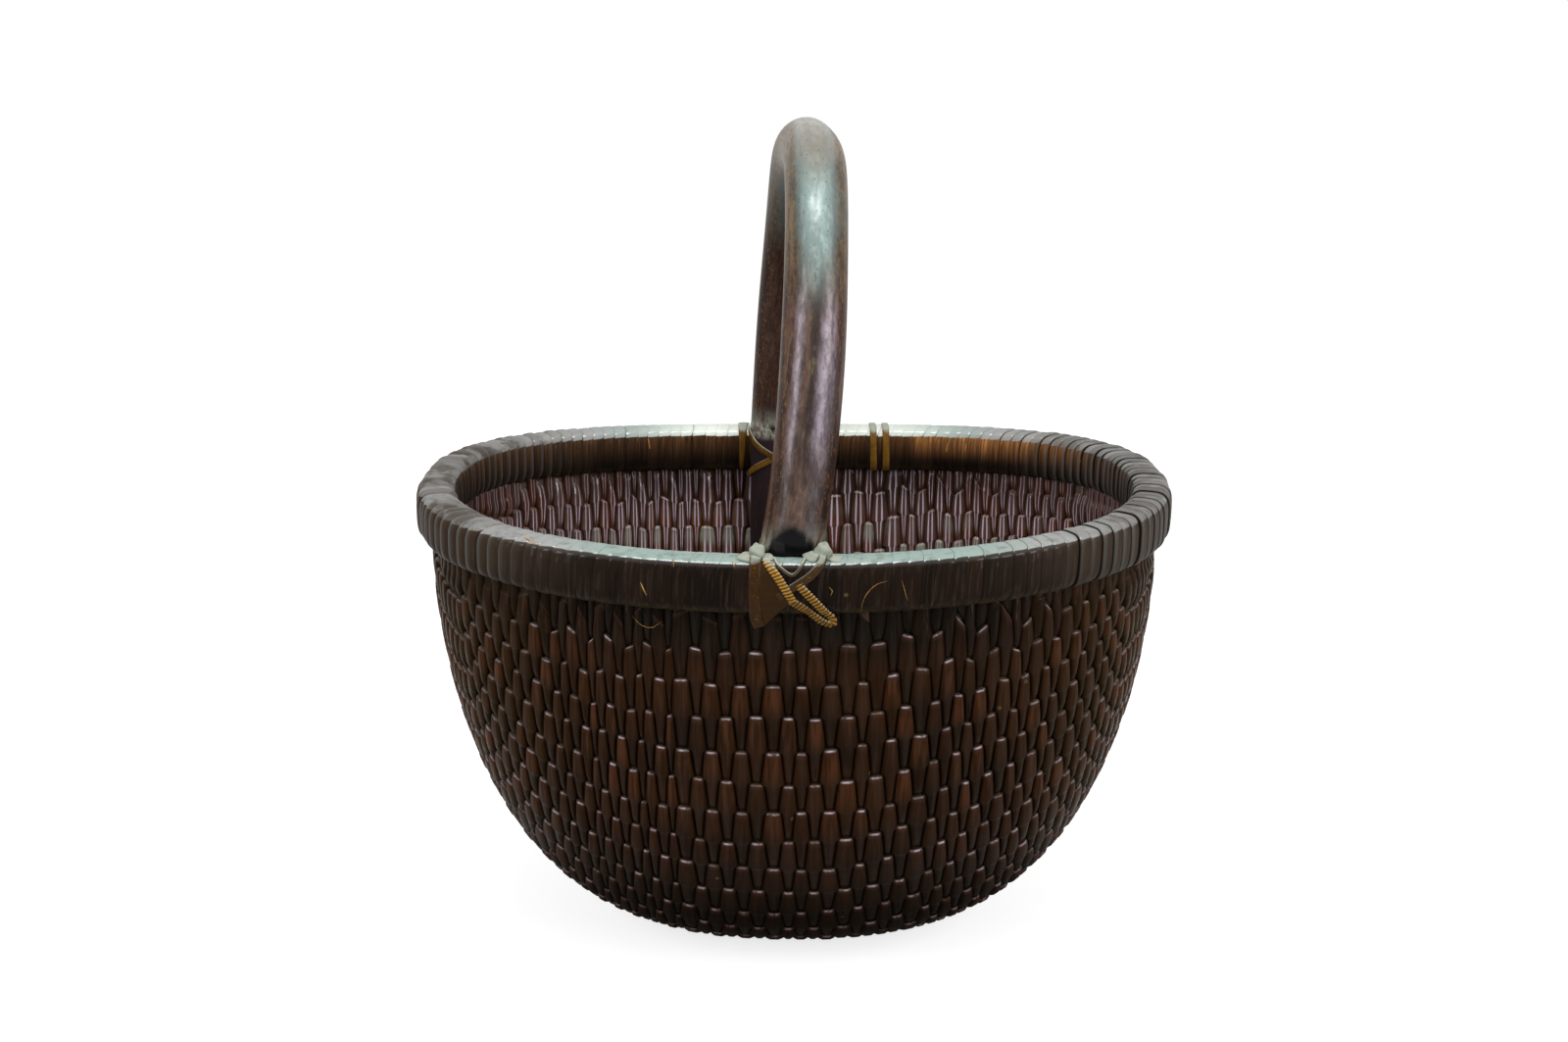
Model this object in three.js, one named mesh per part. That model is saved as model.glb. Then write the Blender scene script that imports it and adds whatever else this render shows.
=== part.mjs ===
// Oval gathering basket of bent willow rods, with a wrapped rim and a lashed bentwood handle.
// Millimetres. +Z is up, +X runs along the long side, -Y is the front.
// The origin is on the ground under the middle of the basket.
// Every rod is one long U: it hangs in a plane square to X, from the front rim, under the base
// and up to the back rim. The rods of the two end walls are stacked U's, joined to one shell each.

import * as THREE from "three";
import { mergeVertices } from "three/addons/utils/BufferGeometryUtils.js";

// The rim: two hoops that clamp the rod ends, wound with a flat strip.
const RIM_LENGTH = 450;
const RIM_DEPTH = 344;
const RIM_SECTION_WIDTH = 23;
const RIM_SECTION_HEIGHT = 29;
const RIM_SECTION_EXPONENT = 3;
const RIM_MIDDLE_HEIGHT = 260;
const RIM_END_RISE = 8.5;
const PLAN_EXPONENT = 2.35;
const HOOP_STEPS = 60;

// The strip wound round the rim, each turn lying over the edge of the last.
const STRIP_PITCH = 8.6;
const STRIP_THICKNESS = 1.2;
const STRIP_LAP = 0.6;
const STRIP_LAP_SHARE = 0.2;
const STRIP_CORNERS = 8;

// The woven wall: the length of each stretch of the front rim, from the left end to the right
// end, and how wide the rods are that stand beside each other there.
const ROD_STRETCHES = [[168, 7], [70.9, 5.45], [137.7, 8.1], [104.8, 6.55], [125.4, 6.6]];
const LEFT_END_RODS = 23;
const RIGHT_END_RODS = 22;
const WALL_THICKNESS = 8.5;
const ROD_THICKNESS_IN_RIM = 5.4;
const ROD_RIDGE = 2;
const SIDE_EXPONENT = 1.93;
const BELLY_EXPONENT = 3.22;
const BASE_FLATTENING = 3;

// The weave: thin cross strings run round inside the wall, and each rod goes over one string and
// under the next. A row is the share of a rod's half length from one string to the next.
const ROW_SHARE = 0.0605;
const FIRST_ROW = 0.46;
const SHORTEST_EVEN_ROD = 190;
const ROW_CLIMB = 0.58;
const ROW_CLIMB_LENGTH = 120;
const GROOVE_DEPTH = 3;
const SHOULDER_LENGTH = 2.4;
const WOVEN_ABOVE = 0.37;
const UNWOVEN_TOP = 9;

// Places along a rod, as shares of the way from the keel to the rim, 1 in front to -1 behind.
const EDGE_SHARES = [1, 0.79, 0.59, 0.42, 0.26, 0.1, -0.1, -0.26, -0.42, -0.59, -0.79, -1];
const INNER_SHARES = [1, 0.74, 0.53, 0.34, 0.13, -0.13, -0.34, -0.53, -0.74, -1];
const ARC_STEPS = 60;

// The handle: a round pole steamed into an arch, its ends halved to tongues inside the rim.
const HANDLE_DIAMETER = 34;
const HANDLE_RISE = 231.5;
const HANDLE_LEG_HEIGHT = 40;
const HANDLE_ARCH_EXPONENT = 2.8;
const HANDLE_ARCH_STEPS = 22;
const HANDLE_SIDES = 12;
const HANDLE_OVERHANG = 14.5;
const HANDLE_CROWN_X = 8.8;
const HANDLE_LEAN = -15.8;
const HANDLE_BOW = -15.65;
const HANDLE_TWIST = 10.5;
const SHOULDER_CHAMFER = 2.2;
const SHOULDER_CHAMFER_HEIGHT = 9;
const TONGUE_DEPTH = 92;
const TONGUE_END_SCALE = 0.72;
const TONGUE_END_THINNING = 0.6;
const TONGUE_DRIFT = -5;

// The flat strips that lash the handle to the rim, and the two ties on the back rim.
const LASHING_WIDTH = 5.4;
const LASHING_THICKNESS = 1.3;
const LASHING_SPREAD = 19.5;
const LASHING_TUCK = 1.6;
const LASHING_LOWER_SPREAD = 2;
const LASHING_FACE_ANGLE = 60;
const LASHING_FACE_STEPS = 12;
const LASHING_LEAN_IN = 4;
const LASHING_TOP_ANGLES = [90, 120, 150];
const LASHING_INNER_ANGLE = 215;
const LASHING_INNER_SPREAD = 1;
const LASHING_WRAP_STEPS = 12;
const LASHING_WRAP_START = 0.45;
const LASHING_WRAP_FALL = 1.35;
const CROSSING_LENGTH = 17;
const BARK_THICKNESS = 1;
const BARK_LEFT = -24;
const BARK_ROWS = [[12.5, -12], [9.5, -10], [6.5, -8], [0, -2.5], [-4, -1], [-7, -3], [-10, -6], [-13, -12]];
const TIE_PLACES = [54, 62.5];
const TIE_WIDTH = 4.6;
const TIE_THICKNESS = 1.1;
const TIE_START_ANGLE = -75;
const TIE_END_ANGLE = 255;
const TIE_STEPS = 15;

// Clearances between pieces that touch on the real basket.
const GAP = 0.3;
const HOOP_GAP = 0.7;

const HALF_LENGTH = (RIM_LENGTH - RIM_SECTION_WIDTH) / 2;
const HALF_DEPTH = (RIM_DEPTH - RIM_SECTION_WIDTH) / 2;
const RIM_HALF_WIDTH = RIM_SECTION_WIDTH / 2;
const RIM_HALF_HEIGHT = RIM_SECTION_HEIGHT / 2;
const WALL_TOP = RIM_MIDDLE_HEIGHT - RIM_HALF_HEIGHT - GAP;
const WALL_DROP = WALL_TOP - WALL_THICKNESS / 2 + BASE_FLATTENING;
const HOOP_FACE = ROD_THICKNESS_IN_RIM / 2 + HOOP_GAP;
const HOOP_INSET = STRIP_THICKNESS + GAP;
const HANDLE_RADIUS = HANDLE_DIAMETER / 2;
const HANDLE_FOOT_Y = HALF_DEPTH - RIM_HALF_WIDTH + HANDLE_OVERHANG - HANDLE_RADIUS;

const QUARTER_TURN = 90;
const vec = (x, y, z) => new THREE.Vector3(x, y, z);
const degrees = THREE.MathUtils.degToRad;
const power = (value, exponent) => Math.sign(value) * Math.abs(value) ** exponent;

// A closed mesh from a list of corner triples: corners that meet are joined, slivers are
// dropped, and the faces are turned outward if the shape was walked the other way round.
function closedGeometry(corners) {
  const loose = new THREE.BufferGeometry();
  loose.setAttribute("position", new THREE.Float32BufferAttribute(corners.flatMap((p) => p.toArray()), 3));
  const joined = mergeVertices(loose, 1e-3);
  const place = (i) => new THREE.Vector3().fromBufferAttribute(joined.attributes.position, i);
  const old = Array.from(joined.index.array);
  const kept = [];
  let volume = 0;
  for (let i = 0; i < old.length; i += 3) {
    const [a, b, c] = old.slice(i, i + 3);
    if (a === b || b === c || c === a) continue;
    kept.push([a, b, c]);
    volume += place(a).dot(place(b).cross(place(c)));
  }
  joined.setIndex(kept.flatMap((face) => (volume < 0 ? face.reverse() : face)));
  joined.computeVertexNormals();
  return joined;
}

const quad = (a, b, c, d) => [a, b, c, a, c, d];

// How far along a row of points each one lies, as a share of the row's length.
function sharesAlong(row) {
  const lengths = [0];
  for (let i = 1; i < row.length; i += 1) {
    lengths.push(lengths[i - 1] + row[i].distanceTo(row[i - 1]));
  }
  const total = lengths[row.length - 1] || 1;
  return lengths.map((length) => length / total);
}

// The band of triangles between two rows of points, of any two counts, matched by their share
// of the way along.
function zip(left, right) {
  const leftShares = sharesAlong(left);
  const rightShares = sharesAlong(right);
  const out = [];
  let i = 0;
  let j = 0;
  while (i < left.length - 1 || j < right.length - 1) {
    const leftNext = i < left.length - 1 && leftShares[i + 1] <= rightShares[j + 1];
    if (j === right.length - 1 || leftNext) {
      out.push(left[i], right[j], left[i + 1]);
      i += 1;
    } else {
      out.push(left[i], right[j], right[j + 1]);
      j += 1;
    }
  }
  return out;
}

// The band between neighbouring rows of a grid, each row as long as the next.
function gridFaces(rows) {
  const out = [];
  for (let i = 0; i + 1 < rows.length; i += 1) {
    for (let j = 0; j + 1 < rows[i].length; j += 1) {
      out.push(...quad(rows[i][j], rows[i + 1][j], rows[i + 1][j + 1], rows[i][j + 1]));
    }
  }
  return out;
}

const loop = (points) => [...points, points[0]];

// A solid through a row of closed rings, with flat fans over the first and last ring.
function loft(rings) {
  const first = rings[0];
  const last = rings[rings.length - 1];
  const out = gridFaces(rings.map(loop));
  for (let i = 1; i + 1 < first.length; i += 1) {
    out.push(first[0], first[i], first[i + 1], last[0], last[i + 1], last[i]);
  }
  return closedGeometry(out);
}

// A solid ring: the rings go round and meet again.
const closedLoft = (rings) => closedGeometry(gridFaces(loop(rings).map(loop)));

// The oval that the rim and the wall share, walked from the left end along the front:
// evenly spaced places with the outward direction at each.
function planPoint(angle) {
  const x = HALF_LENGTH * power(Math.cos(angle), 2 / PLAN_EXPONENT);
  const y = HALF_DEPTH * power(Math.sin(angle), 2 / PLAN_EXPONENT);
  return vec(x, y, 0);
}

const FINE = 4096;
const finePlan = Array.from({ length: FINE + 1 }, (_, i) => planPoint(Math.PI + (2 * Math.PI * i) / FINE));
const planLengths = [0];
for (let i = 0; i < FINE; i += 1) {
  planLengths.push(planLengths[i] + finePlan[i].distanceTo(finePlan[i + 1]));
}
const PLAN_LENGTH = planLengths[FINE];

function planAt(share) {
  const wrapped = share - Math.floor(share);
  const target = wrapped * PLAN_LENGTH;
  let low = 0;
  let high = FINE;
  while (high - low > 1) {
    const middle = (low + high) >> 1;
    if (planLengths[middle] > target) high = middle;
    else low = middle;
  }
  const part = (target - planLengths[low]) / (planLengths[low + 1] - planLengths[low]);
  return finePlan[low].clone().lerp(finePlan[low + 1], part);
}

function planOutward(p) {
  const x = power(p.x / HALF_LENGTH, PLAN_EXPONENT - 1) / HALF_LENGTH;
  const y = power(p.y / HALF_DEPTH, PLAN_EXPONENT - 1) / HALF_DEPTH;
  return vec(x, y, 0).normalize();
}

const rimHeightAt = (x) => RIM_MIDDLE_HEIGHT + RIM_END_RISE * (x / HALF_LENGTH) ** 2;

// A place on the rim: a share of the way round, a step outward and a step up.
function rimPlace(share, outward, up) {
  const p = planAt(share);
  p.addScaledVector(planOutward(p), outward);
  return p.setZ(rimHeightAt(planAt(share).x) + up);
}

// The rim's rounded section, set in by some distance: angle 0 faces out, 90 degrees up.
function rimSection(angle, inset) {
  const exponent = 2 / RIM_SECTION_EXPONENT;
  const outward = (RIM_HALF_WIDTH - inset) * power(Math.cos(angle), exponent);
  const up = (RIM_HALF_HEIGHT - inset) * power(Math.sin(angle), exponent);
  return [outward, up];
}

// The rounded section's outline from one lip of the slot below, over the top, to the other lip.
function rimOutline(inset) {
  const lip = Math.acos(((HOOP_FACE - GAP) / (RIM_HALF_WIDTH - inset)) ** (RIM_SECTION_EXPONENT / 2));
  const step = (Math.PI + 2 * lip) / (STRIP_CORNERS - 1);
  return Array.from({ length: STRIP_CORNERS }, (_, i) => rimSection(-lip + step * i, inset));
}

const hoopOutline = rimOutline(HOOP_INSET).slice(0, STRIP_CORNERS / 2);
const HOOP_TOP = hoopOutline[hoopOutline.length - 1][1];

// A hoop: one half of the rounded section, cut off flat where it presses on the rods.
function hoop(side) {
  const [lip, ...rounded] = hoopOutline;
  const section = [[HOOP_FACE, lip[1]], ...rounded, [HOOP_FACE, HOOP_TOP]];
  const rings = [];
  for (let i = 0; i < HOOP_STEPS; i += 1) {
    rings.push(section.map(([outward, up]) => rimPlace(i / HOOP_STEPS, side * outward, up)));
  }
  return closedLoft(rings);
}

// The wound strip: a sleeve round both hoops, open below where the rods come in. Each turn
// has a raised edge and a low edge, and climbs round the rim by one pitch, as a winding does.
function rimBinding() {
  const turns = Math.round((PLAN_LENGTH + 2 * Math.PI * RIM_HALF_WIDTH) / STRIP_PITCH);
  const outside = [];
  for (let turn = 0; turn < turns; turn += 1) {
    for (const [lag, inset] of [[0, 0], [STRIP_LAP_SHARE, STRIP_LAP]]) {
      outside.push(rimOutline(inset).map(([outward, up], j) => {
        const climb = j / (STRIP_CORNERS - 1) - 0.5;
        return rimPlace((turn + lag + climb) / turns, outward, up);
      }));
    }
  }
  const inside = [];
  for (let i = 0; i < HOOP_STEPS; i += 1) {
    inside.push(rimOutline(STRIP_THICKNESS).map(([outward, up]) => rimPlace(i / HOOP_STEPS, outward, up)));
  }
  const edge = (rows, j) => loop(rows).map((row) => row[j]);
  const last = STRIP_CORNERS - 1;
  const faces = gridFaces(loop(outside));
  faces.push(...gridFaces(loop(inside)).reverse());
  faces.push(...zip(edge(outside, 0), edge(inside, 0)));
  faces.push(...zip(edge(inside, last), edge(outside, last)));
  return closedGeometry(faces);
}

// The wall's middle surface. At x its height and depth follow a barrel-like law: with r the
// place in the oval, 0 in the middle and 1 at the rim, the drop is (1 - r^belly)^(1/side).
function wallMiddle(x, station) {
  const share = Math.min(1, Math.abs(x) / HALF_LENGTH);
  const reach = HALF_DEPTH * (1 - share ** PLAN_EXPONENT) ** (1 / PLAN_EXPONENT);
  const y = -reach * Math.sin(degrees(station));
  const oval = share ** PLAN_EXPONENT + (Math.abs(y) / HALF_DEPTH) ** PLAN_EXPONENT;
  const drop = Math.max(0, 1 - oval ** (BELLY_EXPONENT / PLAN_EXPONENT)) ** (1 / SIDE_EXPONENT);
  return vec(x, y, WALL_TOP - WALL_DROP * drop);
}

function wallOutward(p) {
  const across = Math.abs(p.x / HALF_LENGTH) ** PLAN_EXPONENT + Math.abs(p.y / HALF_DEPTH) ** PLAN_EXPONENT;
  const flare = BELLY_EXPONENT * across ** (BELLY_EXPONENT / PLAN_EXPONENT - 1);
  const drop = Math.max(0, (WALL_TOP - p.z) / WALL_DROP);
  return vec(
    (flare * power(p.x / HALF_LENGTH, PLAN_EXPONENT - 1)) / HALF_LENGTH,
    (flare * power(p.y / HALF_DEPTH, PLAN_EXPONENT - 1)) / HALF_DEPTH,
    (-SIDE_EXPONENT * drop ** (SIDE_EXPONENT - 1)) / WALL_DROP,
  ).normalize();
}

// How far the wall's faces stand from its middle surface: rods have a ridge along the outside.
const WALL_OUTSIDE = WALL_THICKNESS / 2 - ROD_RIDGE;
const WALL_CREST = WALL_THICKNESS / 2;
const WALL_INSIDE = -WALL_THICKNESS / 2;

// The half line of the wall at x, from the keel to the rim: its length, and the station that lies
// at a share of that length.
function wallArc(x) {
  const station = (i) => (QUARTER_TURN * i) / ARC_STEPS;
  const lengths = [0];
  for (let i = 1; i <= ARC_STEPS; i += 1) {
    lengths.push(lengths[i - 1] + wallMiddle(x, station(i)).distanceTo(wallMiddle(x, station(i - 1))));
  }
  const length = lengths[ARC_STEPS];
  const stationAt = (share) => {
    if (length === 0) return QUARTER_TURN * share;
    const target = Math.abs(share) * length;
    const i = Math.max(1, lengths.findIndex((walked) => walked >= target - 1e-9));
    const part = (target - lengths[i - 1]) / (lengths[i] - lengths[i - 1]);
    return Math.sign(share) * station(i - 1 + part);
  };
  return { length, stationAt };
}

// One line of the wall at x, from the front rim to the back rim. Each place is a share of the way
// from the keel and an offset from the middle surface. The rod is shaved thinner inside the rim,
// and pressed flat on the ground.
function wallRow(x, places) {
  const { stationAt } = wallArc(x);
  const row = places.map(([share, offset]) => {
    const p = wallMiddle(x, stationAt(share));
    const shaved = (Math.sign(offset) * ROD_THICKNESS_IN_RIM) / 2;
    p.addScaledVector(wallOutward(p), Math.abs(share) === 1 ? shaved : offset);
    return p.setZ(Math.max(0, p.z));
  });
  const lift = (p) => p.clone().setZ(rimHeightAt(x) + HOOP_TOP);
  return [lift(row[0]), ...row, lift(row[row.length - 1])];
}

const edgeRow = (x) => wallRow(x, EDGE_SHARES.map((share) => [share, WALL_OUTSIDE]));
const innerRow = (x) => wallRow(x, INNER_SHARES.map((share) => [share, WALL_INSIDE]));

// The outer ridge of one rod. It stands full height just below each string that it comes out
// from under, thins from there down to the next one, and dips at the string itself.
// The underside is worn flat.
function crestRow(index) {
  const x = (rodEdges[index] + rodEdges[index + 1]) / 2;
  const { length } = wallArc(x);
  const pitch = (ROW_SHARE * Math.max(length, SHORTEST_EVEN_ROD)) / length;
  const climb = ROW_CLIMB * THREE.MathUtils.smoothstep(x, 0, ROW_CLIMB_LENGTH);
  const shoulder = SHOULDER_LENGTH / length;
  const half = (side) => {
    const places = [];
    for (let row = 0; (row + FIRST_ROW + climb) * pitch < 1 - UNWOVEN_TOP / length; row += 1) {
      const share = (row + FIRST_ROW + climb) * pitch;
      const dips = (index + row) % 2 === (side > 0 ? 1 : 0);
      if (!dips || share - shoulder < WOVEN_ABOVE) continue;
      places.push([side * (share - shoulder), WALL_CREST], [side * share, WALL_CREST - GROOVE_DEPTH]);
    }
    return places;
  };
  const underside = EDGE_SHARES.filter((share) => Math.abs(share) < WOVEN_ABOVE);
  return wallRow(x, [
    [1, WALL_CREST],
    ...half(1).reverse(),
    ...underside.map((share) => [share, WALL_CREST]),
    ...half(-1),
    [-1, WALL_CREST],
  ]);
}

// The band between two lines of the wall. Their ends inside the rim lie side by side, and the
// stretch below the rim is matched by length.
function wallBand(left, right) {
  const stretches = [[0, 2], [1, -1], [-2, left.length + right.length]];
  return stretches.flatMap(([from, to]) => zip(left.slice(from, to), right.slice(from, to)));
}

// Where the rods meet each other along the front rim, from the left end to the right end.
const rodWidths = ROD_STRETCHES.flatMap(([stretch, width]) => {
  const count = Math.round(stretch / width);
  return Array(count).fill(width);
});
const ROD_COUNT = rodWidths.length;
const widthTotal = rodWidths.reduce((sum, width) => sum + width, 0);
const rodEdges = [planAt(0).x];
let widthPassed = 0;
for (const width of rodWidths) {
  widthPassed += width;
  rodEdges.push(planAt(widthPassed / widthTotal / 2).x);
}

// One rod: flat where it lies on its neighbours and inside, with a woven ridge along the outside.
// Both its sides are split into triangles in the same way, so that neighbours lie face to face.
function willowRod(index) {
  const left = rodEdges[index] + GAP / 2;
  const right = rodEdges[index + 1] - GAP / 2;
  const rows = [edgeRow(left), crestRow(index), edgeRow(right), innerRow(right), innerRow(left)];
  const last = (row) => row[row.length - 1];
  const faces = rows.slice(1).flatMap((row, i) => wallBand(rows[i], row));
  faces.push(...wallBand(rows[0], last(rows)).reverse());
  for (let i = 1; i + 1 < rows.length; i += 1) {
    faces.push(rows[0][0], rows[i + 1][0], rows[i][0], last(rows[0]), last(rows[i]), last(rows[i + 1]));
  }
  return closedGeometry(faces);
}

// The stacked rods of one end wall as one ridged shell, from one edge between rods to another.
// At the end of the basket the front and back halves meet in a seam.
function endWall(from, to) {
  const leftmost = rodEdges[from] + (from === 0 ? 0 : GAP / 2);
  const rightmost = rodEdges[to] - (to === ROD_COUNT ? 0 : GAP / 2);
  const outside = [edgeRow(leftmost)];
  const inside = [innerRow(leftmost)];
  for (let i = from; i < to; i += 1) {
    const edge = i + 1 === to ? rightmost : rodEdges[i + 1];
    outside.push(crestRow(i), edgeRow(edge));
    inside.push(innerRow(edge));
  }
  const faces = [];
  for (let i = 0; i + 1 < outside.length; i += 1) faces.push(...wallBand(outside[i], outside[i + 1]));
  for (let i = 0; i + 1 < inside.length; i += 1) faces.push(...wallBand(inside[i + 1], inside[i]));
  const first = (row) => row[0];
  const last = (row) => row[row.length - 1];
  faces.push(...zip(outside.map(first), inside.map(first)));
  faces.push(...zip(inside.map(last), outside.map(last)));
  if (from > 0) faces.push(...wallBand(outside[0], inside[0]).reverse());
  if (to < ROD_COUNT) faces.push(...wallBand(last(outside), last(inside)));
  return closedGeometry(faces);
}

// The handle's sideways sway: share -1 is the front foot, 0 the crown and 1 the back foot.
function handleSway(share) {
  return HANDLE_CROWN_X + HANDLE_LEAN * share + HANDLE_BOW * share ** 2 + HANDLE_TWIST * share ** 3;
}

// The handle's middle line from the front shoulder over the crown to the back shoulder.
const shoulderHeight = RIM_MIDDLE_HEIGHT + RIM_HALF_HEIGHT + GAP;
function handleLine() {
  const archBase = RIM_MIDDLE_HEIGHT + HANDLE_LEG_HEIGHT;
  const archRise = HANDLE_RISE - HANDLE_RADIUS - HANDLE_LEG_HEIGHT;
  const points = [vec(0, -HANDLE_FOOT_Y, shoulderHeight)];
  for (let i = 0; i <= HANDLE_ARCH_STEPS; i += 1) {
    const angle = (Math.PI * i) / HANDLE_ARCH_STEPS;
    const y = -HANDLE_FOOT_Y * power(Math.cos(angle), 2 / HANDLE_ARCH_EXPONENT);
    const z = archBase + archRise * Math.abs(Math.sin(angle)) ** (2 / HANDLE_ARCH_EXPONENT);
    points.push(vec(0, y, z));
  }
  points.push(vec(0, HANDLE_FOOT_Y, shoulderHeight));
  const lengths = [0];
  for (let i = 1; i < points.length; i += 1) {
    lengths.push(lengths[i - 1] + points[i].distanceTo(points[i - 1]));
  }
  const total = lengths[lengths.length - 1];
  return points.map((p, i) => p.setX(handleSway((2 * lengths[i]) / total - 1)));
}

// A round ring of the pole about a place, with its own side and face directions.
function poleRing(middle, side, face, radius) {
  return Array.from({ length: HANDLE_SIDES }, (_, i) => {
    const angle = (2 * Math.PI * (i + 0.5)) / HANDLE_SIDES;
    return middle.clone()
      .addScaledVector(side, radius * Math.cos(angle))
      .addScaledVector(face, radius * Math.sin(angle));
  });
}

// How far back from the middle the rim's centre line runs at x, and the rim's inner face.
function rimDepthAt(x) {
  return HALF_DEPTH * (1 - Math.abs(x / HALF_LENGTH) ** PLAN_EXPONENT) ** (1 / PLAN_EXPONENT);
}
const rimInnerFaceAt = (x) => rimDepthAt(x) - RIM_HALF_WIDTH;

// The rings of one foot, from the tongue's lower end up to the leg: the tongue is the pole's
// inner half, flat against the rim, and the shoulder above it sits on the rim with its outer
// edge cut back. The tongue thins toward its lower end.
function footRings(end, footX) {
  const across = vec(1, 0, 0);
  const outward = vec(0, end, 0);
  const face = rimInnerFaceAt(Math.abs(footX) + HANDLE_RADIUS) - GAP;
  const bottom = RIM_MIDDLE_HEIGHT - TONGUE_DEPTH;
  const ring = (x, z, scale) => {
    return poleRing(vec(x, end * HANDLE_FOOT_Y, z), across, outward, HANDLE_RADIUS * scale);
  };
  const cutAt = (limit) => (p) => p.clone().setY(end * Math.min(limit, end * p.y));
  const thin = (p) => p.clone().setY(end * (face - (face - end * p.y) * TONGUE_END_THINNING));
  return [
    ring(footX + TONGUE_DRIFT, bottom, TONGUE_END_SCALE).map(cutAt(face)).map(thin),
    ring(footX, RIM_MIDDLE_HEIGHT - RIM_SECTION_HEIGHT, 1).map(cutAt(face)),
    ring(footX, shoulderHeight, 1).map(cutAt(face)),
    ring(footX, shoulderHeight, 1).map(cutAt(HANDLE_FOOT_Y + HANDLE_RADIUS - SHOULDER_CHAMFER)),
    ring(footX, shoulderHeight + SHOULDER_CHAMFER_HEIGHT, 1),
  ];
}

function handlePole() {
  const line = handleLine();
  const front = footRings(-1, line[0].x);
  const back = footRings(1, line[line.length - 1].x).reverse();
  const arch = line.slice(1, -1).map((p, i) => {
    const along = line[i + 2].clone().sub(line[i]).normalize();
    const side = vec(1, 0, 0).addScaledVector(along, -along.x).normalize();
    const face = vec().crossVectors(side, along);
    return poleRing(p, side, face, HANDLE_RADIUS);
  });
  return loft([...front, ...arch, ...back]);
}

// A flat strip along a line of places: each place has the way its broad face looks.
function flatStrip(places, width, thickness) {
  const rings = places.map(({ point, face }, i) => {
    const before = places[Math.max(0, i - 1)].point;
    const after = places[Math.min(places.length - 1, i + 1)].point;
    const along = after.clone().sub(before).normalize();
    const side = vec().crossVectors(along, face).normalize();
    const out = vec().crossVectors(side, along).normalize();
    return [[1, 1], [-1, 1], [-1, -1], [1, -1]].map(([across, up]) =>
      point.clone()
        .addScaledVector(side, (across * width) / 2)
        .addScaledVector(out, (up * thickness) / 2));
  });
  return loft(rings);
}

// A place on the front (end -1) or back (end 1) stretch of the rim: along it, out and up.
const stretchPlace = (end, x, outward, up) => vec(x, end * (rimDepthAt(x) + outward), rimHeightAt(x) + up);

// A place that stands off the rim's rounded section at an angle: 0 faces out, 90 is the top.
function wrapPlace(end, x, angle, standOff) {
  const [outward, up] = rimSection(degrees(angle), -standOff);
  const face = vec(0, end * Math.cos(degrees(angle)), Math.sin(degrees(angle)));
  return { point: stretchPlace(end, x, outward, up), face };
}

// 1 in the middle of a crossing, 0 past its ends, and nearly flat on top.
function smoothBump(distance, length) {
  const angle = (Math.PI / 2) * Math.min(1, distance / length);
  return Math.sqrt(Math.max(0, Math.cos(angle)));
}

// One lashing strip of a foot: from under the rim outside it runs slantwise up the outer face,
// over the rim beside the pole, slantwise down round the tongue, and under the rim inside.
// The second strip of a foot leans the other way and rides over the first where they cross.
function lashing(end, hand, footX, over) {
  const beside = HANDLE_RADIUS + GAP * 2 + LASHING_WIDTH / 2;
  const standOff = GAP + LASHING_THICKNESS / 2;
  const overBark = standOff + BARK_THICKNESS + GAP;
  const lift = over ? LASHING_THICKNESS + GAP : 0;
  const places = [];
  const tuck = -RIM_HALF_HEIGHT - LASHING_TUCK;
  const tuckFace = vec(0, end, -1).normalize();
  const tuckAt = HOOP_FACE + LASHING_THICKNESS;
  const lower = footX + hand * (LASHING_SPREAD + LASHING_LOWER_SPREAD);
  places.push({ point: stretchPlace(end, lower, tuckAt, tuck), face: tuckFace });
  for (let i = 0; i <= LASHING_FACE_STEPS; i += 1) {
    const share = i / LASHING_FACE_STEPS;
    const angle = LASHING_FACE_ANGLE * (2 * share - 1);
    const x = LASHING_SPREAD - share * (LASHING_SPREAD + beside - LASHING_LEAN_IN);
    const raise = lift * smoothBump(Math.abs(x), CROSSING_LENGTH);
    places.push(wrapPlace(end, footX + hand * x, angle, overBark + raise));
  }
  for (const angle of LASHING_TOP_ANGLES) {
    places.push(wrapPlace(end, footX - hand * beside, angle, standOff));
  }
  for (let i = 1; i < LASHING_WRAP_STEPS; i += 1) {
    const share = i / LASHING_WRAP_STEPS;
    const turn = Math.PI * share;
    const raise = lift * smoothBump(Math.abs(turn - Math.PI / 2) * HANDLE_RADIUS, CROSSING_LENGTH);
    const radius = HANDLE_RADIUS + standOff + raise;
    const x = -Math.cos(turn);
    const y = -Math.sin(turn);
    const up = RIM_HALF_HEIGHT * (LASHING_WRAP_START - LASHING_WRAP_FALL * share);
    places.push({
      point: vec(footX + hand * radius * x, end * (HANDLE_FOOT_Y + radius * y), rimHeightAt(0) + up),
      face: vec(hand * x, end * y, 0),
    });
  }
  const inner = footX + hand * (beside + LASHING_INNER_SPREAD);
  places.push(wrapPlace(end, inner, LASHING_INNER_ANGLE, standOff));
  return flatStrip(places, LASHING_WIDTH, LASHING_THICKNESS);
}

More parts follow.
